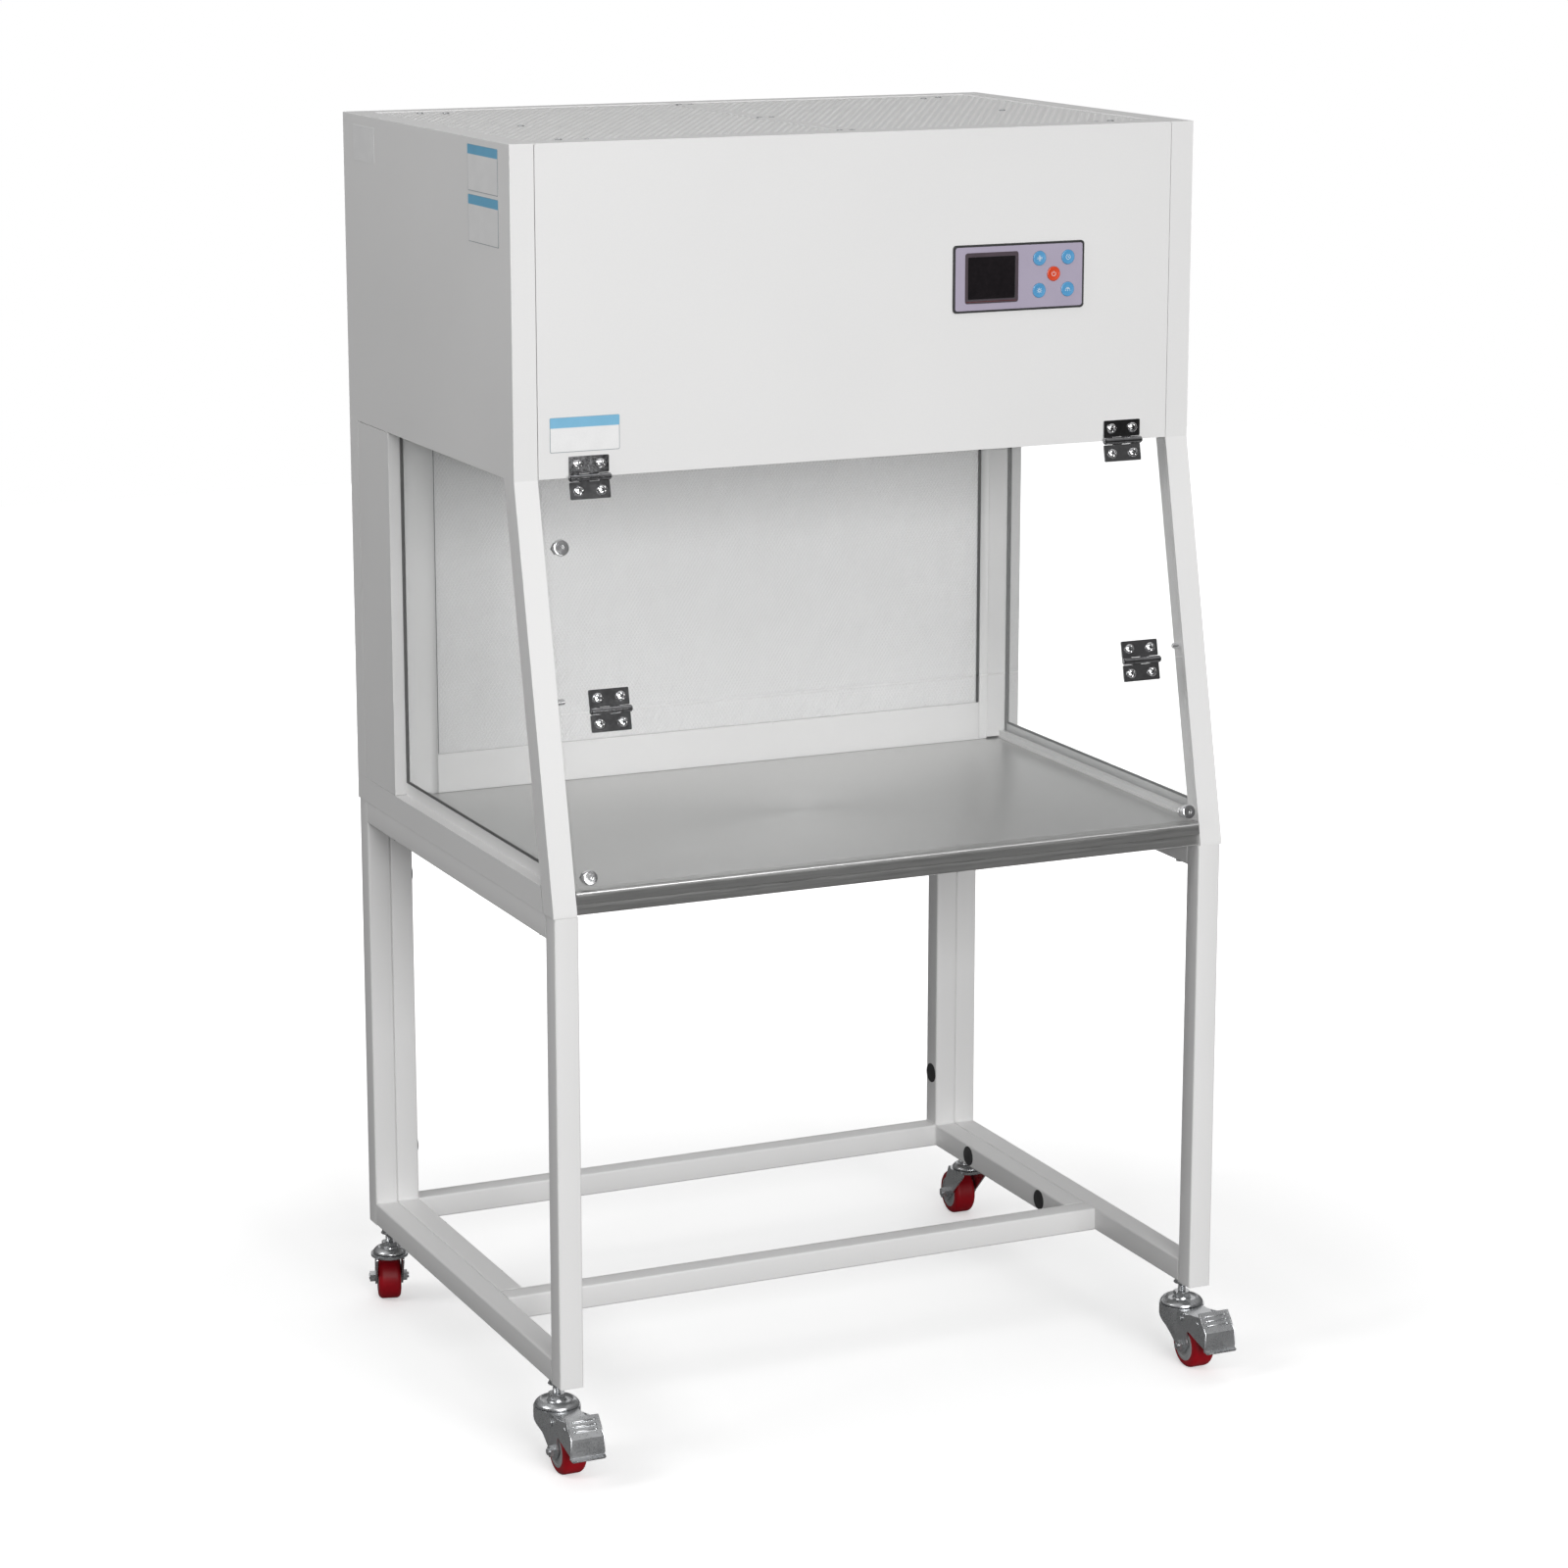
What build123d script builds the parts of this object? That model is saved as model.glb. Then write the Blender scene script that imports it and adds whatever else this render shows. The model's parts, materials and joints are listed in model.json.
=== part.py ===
from build123d import *
from math import atan2, cos, hypot, radians, sin, tan
import os

# Laminar-flow hood on a wheeled stand. Millimetres, +Z up, front towards -Y.
# The origin is on the floor under the middle of the whole object.

# Overall sizes
caster_height = 110.0
stand_height = 578.0
hood_width = 890.0
hood_depth = 690.0
hood_top = 1570.0
bend_height = 1184.0
roof_setback = 107.6
foot_height = 5.0
front_y = -332.4

# Sheet metal and tube
sheet = 1.5
tube_size = 30.0
tube_wall = 1.5
stand_inset = 1.5
strip_width = 30.0
pillar_depth = 33.0
pillar_return = 24.0
window_recess = 17.0

# Base, worktop and work chamber
rail_height = 31.6
worktop_rise = 29.4
rear_wall_depth = 545.0
ceiling_height = 1215.0
mesh_half_width = 386.0
mesh_bottom = 768.0
mesh_top = 1193.0

# Glazing
glass = 5.0
pane_half_width = 412.0
pane_gap = 1.0
upper_pane_end = 270.4
fold_line = 271.4
lower_pane_end = 474.0
latch_drop = 79.8
knob_drop = 463.0
knob_x = 398.0
latch_x = -396.0
rest_drop = 257.5

# Hinges
hinge_x = 352.2
hinge_size = 50.0
leaf_thickness = 2.0
knuckle_radius = 4.2
pin_radius = 2.0
axis_rise = 4.8
leaf_gap = 4.6
screw_pitch = 28.0
screw_reach = 15.0
screw_hole_radius = 2.2
running_gap = 0.05

# Control panel
bezel_x = 207.3
bezel_z = 1391.3
bezel_width = 176.0
bezel_height = 80.0
bezel_thickness = 2.5
screen_x = 170.2
screen_z = 1391.8
screen_width = 65.3
screen_height = 52.3
button_x = 254.0
button_z = 1393.0
button_pitch = 19.4
button_radius = 8.8
button_rise = 1.0
button_depth = 4.9

# Casters
wheel_radius = 30.0
wheel_width = 30.0
tread_shoulder = 6.5
hub_radius = 20.0
trail = 33.0
stem_x = 430.0
front_stem = 47.0
rear_stem = 650.5
stem_radius = 5.0
fork_inner = 16.2
fork_sheet = 2.2
fork_reach = 72.0
skirt_bottom = 60.0
plate_bottom = 71.0
plate_top = 74.5
cap_bottom = 75.0
cap_top = 84.0
pivot_height = 66.5
pivot_radius = 3.0
pivot_land = 6.5
axle_radius = 4.0
pedal_travel = 18.0

# Values worked out from the sizes above
half_width = hood_width / 2
rear_y = front_y + hood_depth
roof_y = front_y + roof_setback
stand_bottom = caster_height
stand_top = caster_height + stand_height
foot_top = stand_top + foot_height
rail_top = stand_top + rail_height
worktop_top = stand_top + worktop_rise
strip_inner = half_width - strip_width
recess_x = half_width - window_recess
rear_wall_y = front_y + rear_wall_depth
side_outer = half_width - stand_inset
side_inner = side_outer - tube_size
inner_face = side_inner - tube_size
lean = atan2(roof_setback, bend_height - foot_top)
lean_slope = tan(lean)
slope_length = hypot(roof_setback, bend_height - foot_top)
axis_shift = axis_rise * tan(lean / 2)

# The front panel's face and the sash's face meet on the bend line.
panel_plane = Plane((0, roof_y, bend_height), x_dir=(1, 0, 0), z_dir=(0, -1, 0))
sash_plane = Plane((0, roof_y, bend_height), x_dir=(1, 0, 0), z_dir=(0, -cos(lean), sin(lean)))

os.makedirs("parts", exist_ok=True)


def save(name, *solids):
    """Label one node, a single solid or a group of separate ones, and write it."""
    node = solids[0] if len(solids) == 1 else Compound(list(solids))
    node.label = name
    export_step(node, f"parts/{name}.step")


def box(x_range, y_range, z_range, mode=Mode.ADD):
    """A box between two limits on each axis, joined to the part being built."""
    sizes = [high - low for low, high in (x_range, y_range, z_range)]
    middle = [(low + high) / 2 for low, high in (x_range, y_range, z_range)]
    with Locations(tuple(middle)):
        Box(*sizes, mode=mode)


def rod(centre, radius, length, direction, mode=Mode.ADD):
    """A cylinder whose base is centred on a point and which runs along a direction."""
    with BuildSketch(Plane(centre, z_dir=direction)) as disc:
        Circle(radius)
    extrude(disc.sketch, amount=length, mode=mode)


def hexagon(centre, across_corners, length, direction):
    """A hexagonal nut or bolt head."""
    with BuildSketch(Plane(centre, z_dir=direction)) as outline:
        RegularPolygon(across_corners / 2, 6)
    extrude(outline.sketch, amount=length)


def depth(low, high):
    """A range of Y measured backwards from the hood's front edge."""
    return (front_y + low, front_y + high)


def both_sides(part):
    """A piece on the right and its mirror image on the left."""
    return part, mirror(part, about=Plane.YZ)


def shifted(plane, x, y, z=0):
    """The same plane with its origin moved along its own directions."""
    return Plane(plane.from_local_coords((x, y, z)), x_dir=plane.x_dir, z_dir=plane.z_dir)


# ---------------------------------------------------------------- stand

bolt_radius = 4.0
bolt_hole_radius = 4.2
plug_hole_radius = 12.0
post_bolt_heights = (212.8, 584.0)
rail_bolt_depths = (351.2, 558.7)
hood_bolt_depths = (70.0, 580.7)
post_y = rear_y - tube_size / 2
base_rail_z = stand_bottom + tube_size / 2
stand_bolt_points = [(post_y, z) for z in post_bolt_heights]
stand_bolt_points += [(front_y + d, base_rail_z) for d in rail_bolt_depths]
hood_bolt_x = side_inner + tube_size / 2


def stand_tube(x_range, y_range, z_range, along, closed=0.0):
    """A square tube between limits, open at its ends or closed at its lower one."""
    ranges = [x_range, y_range, z_range]
    hollow = [(low + tube_wall, high - tube_wall) for low, high in ranges]
    hollow[along] = (ranges[along][0] + closed, ranges[along][1])
    with BuildPart() as tube:
        box(*ranges)
        box(*hollow, mode=Mode.SUBTRACT)
    return tube.part


def drilled(part, points):
    """A tube on the right with round holes, each a base point, radius, length and direction."""
    with BuildPart() as piece:
        add(part)
        for centre, radius, length, direction in points:
            rod(centre, radius, length, direction, mode=Mode.SUBTRACT)
    return piece.part


joint_reach = 6.0
joint_holes = [((side_inner - joint_reach / 2, y, z), bolt_hole_radius, joint_reach, (1, 0, 0))
               for y, z in stand_bolt_points]
plug_holes = [((inner_face - 1, y, z), plug_hole_radius, 4.0, (1, 0, 0))
              for y, z in stand_bolt_points]
stem_holes = [((stem_x, front_y + d, stand_bottom - 1), stem_radius, 4.0, (0, 0, 1))
              for d in (front_stem, rear_stem)]
hood_hole_base = stand_top - tube_size - 1
hood_holes = [((hood_bolt_x, front_y + d, hood_hole_base), bolt_hole_radius, tube_size + 2, (0, 0, 1))
              for d in hood_bolt_depths]

side_x = (side_inner, side_outer)
leg_z = (stand_bottom, stand_top)
base_z = (stand_bottom, stand_bottom + tube_size)
top_z = (stand_top - tube_size, stand_top)
between_legs = depth(tube_size, hood_depth - tube_size)
front_leg = stand_tube(side_x, depth(0, tube_size), leg_z, 2, closed=tube_wall)
rear_leg = stand_tube(side_x, depth(hood_depth - tube_size, hood_depth), leg_z, 2, closed=tube_wall)
rear_leg = drilled(rear_leg, joint_holes[:2])
side_bottom_rail = drilled(stand_tube(side_x, between_legs, base_z, 1), stem_holes + joint_holes[2:])
side_top_rail = drilled(stand_tube(side_x, between_legs, top_z, 1), hood_holes)
right_frame = [front_leg, rear_leg, side_bottom_rail, side_top_rail]
save("stand_side_frame_right", *right_frame)
save("stand_side_frame_left", *[mirror(tube, about=Plane.YZ) for tube in right_frame])

crossbar_front = 249.5
inner_x = (inner_face, side_inner)
rear_bar_y = depth(hood_depth - tube_size, hood_depth)
front_bar_y = depth(crossbar_front, crossbar_front + tube_size)
inner_rail_y = depth(crossbar_front + tube_size, hood_depth - tube_size)
full_inner = (-side_inner, side_inner)
inner_rail = drilled(stand_tube(inner_x, inner_rail_y, base_z, 1), joint_holes[2:] + plug_holes[2:])
rear_post = stand_tube(inner_x, rear_bar_y, (stand_bottom + tube_size, stand_top), 2)
rear_post = drilled(rear_post, joint_holes[:2] + plug_holes[:2])
front_bar = stand_tube(full_inner, front_bar_y, base_z, 0)
rear_bar = stand_tube(full_inner, rear_bar_y, base_z, 0)
top_bar = stand_tube((-inner_face, inner_face), rear_bar_y, top_z, 0)
save("stand_inner_frame", *both_sides(inner_rail), *both_sides(rear_post),
     front_bar, rear_bar, top_bar)

head_corners = 14.6
head_height = 5.5
nut_height = 6.5
fasteners = []
for y, z in stand_bolt_points:
    with BuildPart() as joint_bolt:
        head_x = side_inner - tube_wall - head_height
        hexagon((head_x, y, z), head_corners, head_height, (1, 0, 0))
        rod((head_x, y, z), bolt_radius, head_height + 2 * tube_wall + nut_height + 2, (1, 0, 0))
        hexagon((side_inner + tube_wall, y, z), head_corners, nut_height, (1, 0, 0))
    fasteners += both_sides(joint_bolt.part)
for d in hood_bolt_depths:
    with BuildPart() as hood_bolt:
        head_z = stand_top - tube_size - head_height
        hexagon((hood_bolt_x, front_y + d, head_z), head_corners, head_height, (0, 0, 1))
        shank = head_height + tube_size + sheet + nut_height + 2
        rod((hood_bolt_x, front_y + d, head_z), bolt_radius, shank, (0, 0, 1))
        hexagon((hood_bolt_x, front_y + d, stand_top + sheet), head_corners, nut_height, (0, 0, 1))
    fasteners += both_sides(hood_bolt.part)

plug_cap_radius = 13.4
plugs = []
for y, z in stand_bolt_points:
    with BuildPart() as plug:
        rod((inner_face, y, z), plug_cap_radius, 1.6, (-1, 0, 0))
        chamfer(plug.faces().sort_by(Axis.X)[0].edges(), 0.8)
        rod((inner_face, y, z), plug_hole_radius, 6.0, (1, 0, 0))
        rod((inner_face + 6.0, y, z), plug_hole_radius - 1.5, 4.5, (-1, 0, 0), mode=Mode.SUBTRACT)
    plugs += both_sides(plug.part)
save("bolt_hole_plugs", *plugs)

# ---------------------------------------------------------------- casters

# Each caster is built with its swivel axis on Z and its wheel trailing towards +Y.
wheel_centre = (0, trail, wheel_radius)
casters = [
    ("caster_front_left", -stem_x, front_y + front_stem, 180.0, True),
    ("caster_front_right", stem_x, front_y + front_stem, 180.0, True),
    ("caster_rear_left", -stem_x, front_y + rear_stem, -16.6, False),
    ("caster_rear_right", stem_x, front_y + rear_stem, -2.6, False),
]


def caster_stem(cap_radius):
    """Threaded stem with its lock nuts, upper race cap and the rivet under the fork."""
    with BuildPart() as stem:
        rod((0, 0, plate_bottom - 5), stem_radius, 62.0, (0, 0, 1))
        rod((0, 0, plate_bottom - 5), 9.0, 4.5, (0, 0, 1))
        with BuildSketch(Plane.XZ):
            with BuildLine():
                Polyline((0, cap_bottom), (cap_radius, cap_bottom), (cap_radius, cap_bottom + 3))
                ThreePointArc((cap_radius, cap_bottom + 3), (cap_radius - 5, cap_top - 2.2),
                              (14, cap_top))
                Polyline((14, cap_top), (0, cap_top), (0, cap_bottom))
            make_face()
        revolve(axis=Axis.Z)
        hexagon((0, 0, cap_top), 22.0, 6.0, (0, 0, 1))
        hexagon((0, 0, stand_bottom - 8), 18.5, 8.0, (0, 0, 1))
        hexagon((0, 0, stand_bottom + tube_wall), 18.5, 8.0, (0, 0, 1))
    return stem.part


def caster_fork(plate_radius, with_brake):
    """Fork with its race plate, two side plates, axle bolt and, with a brake, the pedal's pivot."""
    outer = fork_inner + fork_sheet
    inner_radius = plate_radius - fork_sheet
    corner_radius = 3.0
    axle_land = 10.5
    nut_size, nut_height, head_height = 15.0, 5.5, 7.0
    bolt_end = 8.0
    with BuildPart() as fork:
        rod((0, 0, plate_bottom), plate_radius, plate_top - plate_bottom, (0, 0, 1))
        if with_brake:
            # A skirt round the race plate and a channel over the wheel
            rod((0, 0, skirt_bottom), plate_radius, plate_bottom - skirt_bottom, (0, 0, 1))
            rod((0, 0, skirt_bottom), inner_radius, plate_bottom - skirt_bottom, (0, 0, 1),
                mode=Mode.SUBTRACT)
            box((-fork_inner, fork_inner), (0, plate_radius + 1), (skirt_bottom, plate_bottom),
                mode=Mode.SUBTRACT)
            box((-outer, outer), (0, fork_reach), (plate_bottom, plate_top))
        with BuildSketch(Plane.YZ.offset(fork_inner)):
            with Locations((trail, wheel_radius)):
                Circle(axle_land)
            if with_brake:
                heel_radius = 8.0
                with Locations((-12.0, skirt_bottom - 3)):
                    Circle(heel_radius)
                with Locations((-18.5, plate_bottom - 2), (fork_reach - 3.5, plate_bottom)):
                    Circle(corner_radius)
            else:
                with Locations((4 - plate_radius, plate_top - 4.5)):
                    Circle(corner_radius)
                with Locations((plate_radius - 4, pivot_height)):
                    Circle(pivot_land)
            make_hull()
            if with_brake:
                notch_centre, notch_radius = (60.0, 44.0), 15.0
                with Locations(notch_centre):
                    Circle(notch_radius, mode=Mode.SUBTRACT)
        extrude(amount=fork_sheet)
        mirror(about=Plane.YZ)
        rod((0, 0, plate_bottom - 1), stem_radius + running_gap, 6.0, (0, 0, 1),
            mode=Mode.SUBTRACT)
        rod((-outer - bolt_end, trail, wheel_radius), axle_radius, 2 * (outer + bolt_end),
            (1, 0, 0))
        hexagon((outer, trail, wheel_radius), nut_size, nut_height, (1, 0, 0))
        hexagon((-outer - head_height, trail, wheel_radius), nut_size, head_height, (1, 0, 0))
        if with_brake:
            reach = outer + 2.6
            head_radius, head_sheet = 4.6, 1.6
            rod((-reach, trail, pivot_height), pivot_radius, 2 * reach, (1, 0, 0))
            for head_start in (-reach - head_sheet, reach):
                rod((head_start, trail, pivot_height), head_radius, head_sheet, (1, 0, 0))
    return fork.part


def caster_tyre():
    """Polyurethane tread with rounded shoulders."""
    with BuildPart() as tyre:
        with BuildSketch(Plane.XY):
            with Locations((0, (hub_radius + wheel_radius) / 2)):
                Rectangle(wheel_width, wheel_radius - hub_radius)
        revolve(axis=Axis.X)
        circles = tyre.edges().filter_by(GeomType.CIRCLE)
        fillet(circles.filter_by(lambda e: e.radius > wheel_radius - 1), tread_shoulder)
    return tyre.part.moved(Location(wheel_centre))


def caster_hub():
    """Wheel centre: rim, web and a boss bored to turn on the axle bolt."""
    boss_radius = 9.0
    web = 10.0
    rim_sheet = 4.0
    side_gap = 0.4
    with BuildPart() as hub:
        with BuildSketch(Plane.XY):
            with Locations((0, hub_radius - rim_sheet / 2)):
                Rectangle(wheel_width - 2, rim_sheet)
            with Locations((0, hub_radius / 2)):
                Rectangle(web, hub_radius)
            with Locations((0, boss_radius / 2)):
                Rectangle(2 * (fork_inner - side_gap), boss_radius)
        revolve(axis=Axis.X)
        rod((-fork_inner, 0, 0), axle_radius + running_gap, 2 * fork_inner, (1, 0, 0),
            mode=Mode.SUBTRACT)
    return hub.part.moved(Location(wheel_centre))


def brake_pedal():
    """Foot pedal with two arms on the pivot and a shoe that closes on the tread."""
    arm_inner = fork_inner + fork_sheet + 0.3
    arm_sheet = 2.0
    top_edge = (80.0, 88.0)
    knee = (97.0, 66.0)
    low_edge = (98.0, 43.5)
    lip = (103.0, 42.0)
    plate_sheet = 2.5
    top_half_width = arm_inner + arm_sheet
    low_half_width = 22.0
    outline_top, outline_low = 92.0, 39.0
    corner_radius = 4.0
    beyond_lip = 120.0
    arm_corner = 2.5
    rib_length, rib_width, rib_height = 28.0, 2.8, 1.2
    rib_drops = (6.0, 12.0, 18.0)
    ramp = Plane((0, *top_edge), x_dir=(-1, 0, 0),
                 z_dir=(0, top_edge[1] - knee[1], knee[0] - top_edge[0]))
    swing_angle = radians(pedal_travel)
    swing = Plane((0, trail, pivot_height), x_dir=(0, cos(swing_angle), sin(swing_angle)),
                  z_dir=(1, 0, 0))
    shoe_half_width = 13.0
    shoe_gap = 0.6
    shoe_drop = wheel_radius + shoe_gap - (pivot_height - wheel_radius)
    with BuildPart() as pedal:
        # A bent plate with a ramp, an upright foot and a rolled lip
        with BuildSketch(Plane.YZ.offset(-low_half_width)):
            with BuildLine():
                Polyline(top_edge, knee, low_edge, lip, (lip[0] - 0.7, lip[1] - 2.4),
                         (low_edge[0] - plate_sheet, low_edge[1] - 1.9),
                         (knee[0] - plate_sheet, knee[1] - 0.9),
                         (top_edge[0] - 2.0, top_edge[1] - 1.6), close=True)
            make_face()
        extrude(amount=2 * low_half_width)
        with BuildSketch(Plane.XZ) as outline:
            with BuildLine():
                Polyline((-top_half_width, outline_top), (top_half_width, outline_top),
                         (low_half_width, outline_low), (-low_half_width, outline_low),
                         close=True)
            make_face()
            fillet(outline.vertices().sort_by(Axis.Y)[:2], corner_radius)
        extrude(amount=-beyond_lip, mode=Mode.INTERSECT)
        with BuildSketch(Plane.YZ.offset(arm_inner)):
            with Locations((trail, pivot_height)):
                Circle(pivot_land)
            with Locations((81.0, 80.0), (93.0, 62.0), (94.0, 47.0)):
                Circle(arm_corner)
            make_hull()
        extrude(amount=arm_sheet)
        mirror(about=Plane.YZ)
        with BuildSketch(swing.offset(-shoe_half_width)):
            with BuildLine():
                Polyline((7.5, shoe_drop), (13.5, shoe_drop - 2.2), (20.0, shoe_drop - 6.6),
                         (59.0, -21.0), (56.0, -13.0), (22.0, -4.5), (9.0, -2.5), close=True)
            make_face()
        extrude(amount=2 * shoe_half_width)
        rod((-arm_inner - 4, trail, pivot_height), pivot_radius + running_gap, 2 * arm_inner + 8,
            (1, 0, 0), mode=Mode.SUBTRACT)
        for drop in rib_drops:
            with BuildSketch(shifted(ramp, 0, -drop)):
                SlotOverall(rib_length, rib_width)
            extrude(amount=rib_height)
    return pedal.part


stems = []
for name, x, y, turn, with_brake in casters:
    place = Location((x, y, 0), (0, 0, turn))
    cap_radius, plate_radius = (27.0, 28.5) if with_brake else (21.5, 24.5)
    stems.append(caster_stem(cap_radius).moved(Location((x, y, 0))))
    save(f"{name}_fork", caster_fork(plate_radius, with_brake).moved(place))
    save(f"{name}_tyre", caster_tyre().moved(place))
    save(f"{name}_hub", caster_hub().moved(place))
    if with_brake:
        save(f"{name}_brake_pedal", brake_pedal().moved(place))
save("caster_stems", *stems)

# ---------------------------------------------------------------- hood shell

# The base: a floor pan and two side rails, each with a channel for the side window.
channel_inner = recess_x - glass - 0.2
channel_outer = recess_x + 0.2
with BuildPart() as base_pan:
    box((-strip_inner, strip_inner), depth(8, hood_depth - 2), (stand_top, stand_top + sheet))
    box((-strip_inner, strip_inner), depth(hood_depth - 3.5, hood_depth - 2), (stand_top, rail_top))
pillar_rear = Plane((0, front_y + pillar_depth + 1.6, foot_top), x_dir=(1, 0, 0),
                    z_dir=(0, cos(lean), -sin(lean)))
with BuildPart() as base_rail:
    rail_y = depth(0, hood_depth)
    box((strip_inner, half_width), rail_y, (stand_top, rail_top))
    box((strip_inner + sheet, half_width - sheet), rail_y, (stand_top + sheet, rail_top - sheet),
        mode=Mode.SUBTRACT)
    box((strip_inner + sheet, channel_inner), depth(0, rear_wall_depth), (rail_top, rail_top + 7.5))
    box((channel_outer, channel_outer + 1.6), depth(0, rear_wall_depth), (rail_top, rail_top + 15.5))
    split(bisect_by=pillar_rear)
    for d in hood_bolt_depths:
        rod((hood_bolt_x, front_y + d, stand_top - 1), bolt_hole_radius, 4.0, (0, 0, 1),
            mode=Mode.SUBTRACT)
save("hood_base", base_pan.part, *both_sides(base_rail.part))

# The stainless worktop turns down at the front as a fascia with a return lip.
with BuildPart() as worktop:
    top_half = strip_inner - 0.5
    box((-top_half, top_half), depth(3, rear_wall_depth - 1), (worktop_top - sheet, worktop_top))
    box((-top_half, top_half), depth(3, 3 + sheet), (stand_top + 0.7, worktop_top))
    box((-top_half, top_half), depth(3, 20), (stand_top + 0.7 + sheet, stand_top + 0.7 + 2 * sheet))
    rolled = worktop.edges().filter_by(Axis.X).sort_by(lambda e: e.center().Y * 10 - e.center().Z)[0]
    fillet(rolled, 1.4)
save("worktop", worktop.part)


def pillar_section(plane, lift):
    """Folded pillar section: front face, outer side, inner return and window return."""
    with BuildSketch(plane) as section:
        with Locations((strip_inner + strip_width / 2, lift + sheet / 2)):
            Rectangle(strip_width, sheet)
        with Locations((half_width - sheet / 2, lift + pillar_depth / 2)):
            Rectangle(sheet, pillar_depth)
        with Locations((strip_inner + sheet / 2, lift + pillar_return / 2)):
            Rectangle(sheet, pillar_return)
        with Locations(((recess_x + half_width) / 2, lift + pillar_depth - sheet / 2)):
            Rectangle(window_recess, sheet)
    return section.sketch


with BuildPart() as pillar:
    extrude(pillar_section(Plane.XY.offset(stand_top), front_y), amount=foot_height)
    extrude(pillar_section(Plane.XY.offset(foot_top), front_y), amount=slope_length,
            dir=(0, roof_setback, bend_height - foot_top))
with BuildPart() as upper_skin:
    upper_z = (bend_height, hood_top)
    box((strip_inner, half_width), depth(roof_setback, roof_setback + sheet), upper_z)
    box((strip_inner, strip_inner + sheet), depth(roof_setback, roof_setback + pillar_return),
        (bend_height, hood_top - 2 * sheet))
    box((half_width - sheet, half_width), depth(roof_setback, hood_depth), upper_z)
    box((strip_inner - 2, half_width), depth(roof_setback, hood_depth), (hood_top - sheet, hood_top))
    box((recess_x, half_width), depth(roof_setback + pillar_depth, rear_wall_depth),
        (bend_height, bend_height + sheet))
with BuildPart() as rear_strip:
    strip_z = (rail_top, bend_height)
    box((half_width - sheet, half_width), depth(hood_depth - 30, hood_depth), strip_z)
    box((recess_x, half_width - sheet), depth(hood_depth - 30, hood_depth - 30 + sheet), strip_z)
side_panel = [pillar.part, upper_skin.part, rear_strip.part]
save("side_panel_right", *side_panel)
save("side_panel_left", *[mirror(piece, about=Plane.YZ) for piece in side_panel])

with BuildPart() as plenum_cover:
    cover_z = (rail_top + 0.4, bend_height - 0.8)
    box((half_width - sheet, half_width), depth(rear_wall_depth, hood_depth - 30.6), cover_z)
    box((recess_x, half_width - sheet), depth(rear_wall_depth, rear_wall_depth + sheet), cover_z)
    box((recess_x, half_width - sheet), depth(hood_depth - 33, hood_depth - 31.5), cover_z)

# The rear panel turns over at the top as the roof's rear strip.
roof_flange = 34.4
rear_flange = 28.0
inlet_x = -330.0
inlet_z = 1290.0
inlet_width = 27.0
inlet_height = 47.0
panel_half = half_width - sheet
inside_flange = strip_inner - 2
with BuildPart() as rear_panel:
    box((-panel_half, panel_half), depth(hood_depth - sheet, hood_depth),
        (rail_top, hood_top - sheet))
    box((-inside_flange, inside_flange), depth(hood_depth - rear_flange, hood_depth),
        (hood_top - sheet, hood_top))
    box((inlet_x - inlet_width / 2, inlet_x + inlet_width / 2), depth(hood_depth - 3, hood_depth + 1),
        (inlet_z - inlet_height / 2, inlet_z + inlet_height / 2), mode=Mode.SUBTRACT)
save("rear_panel", rear_panel.part)

with BuildPart() as inlet:
    flange_y = rear_y + 2.0
    with BuildSketch(Plane((inlet_x, rear_y, inlet_z), x_dir=(-1, 0, 0), z_dir=(0, 1, 0))):
        RectangleRounded(34.0, 60.0, 4.0)
    extrude(amount=2.0)
    box((inlet_x - 13, inlet_x + 13), depth(hood_depth - 22, hood_depth),
        (inlet_z - 23, inlet_z + 23))
    box((inlet_x - 10.5, inlet_x + 10.5), depth(hood_depth - 16, hood_depth + 2.5),
        (inlet_z - 15, inlet_z + 15), mode=Mode.SUBTRACT)
    for x, z in ((-6.0, 5.0), (6.0, 5.0), (0.0, -6.0)):
        box((inlet_x + x - 1, inlet_x + x + 1), depth(hood_depth - 17, hood_depth - 1),
            (inlet_z + z - 2.5, inlet_z + z + 2.5))
    for z in (-22.0, 22.0):
        rod((inlet_x, flange_y, inlet_z + z), 2.8, 1.5, (0, 1, 0))
save("power_inlet", inlet.part)

# The rear wall of the chamber frames the diffuser.
mesh_frame_y = depth(rear_wall_depth + 1, rear_wall_depth + 3)
with BuildPart() as wall_jamb:
    wall_y = depth(rear_wall_depth, rear_wall_depth + sheet)
    box((mesh_half_width + 12, 425), wall_y, (rail_top, ceiling_height))
    box((mesh_half_width, mesh_half_width + 12), mesh_frame_y, (worktop_top, ceiling_height))
with BuildPart() as wall_sill:
    box((-mesh_half_width, mesh_half_width), mesh_frame_y, (worktop_top, mesh_bottom))
with BuildPart() as wall_header:
    box((-mesh_half_width, mesh_half_width), mesh_frame_y, (mesh_top, ceiling_height))
save("rear_wall_frame", *both_sides(wall_jamb.part), wall_sill.part, wall_header.part)

mesh_lap = 5.0
with BuildPart() as mesh:
    box((-mesh_half_width - mesh_lap, mesh_half_width + mesh_lap),
        depth(rear_wall_depth + 4, rear_wall_depth + 5.2),
        (mesh_bottom - mesh_lap, mesh_top + mesh_lap))
save("diffuser_mesh", mesh.part)

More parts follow.
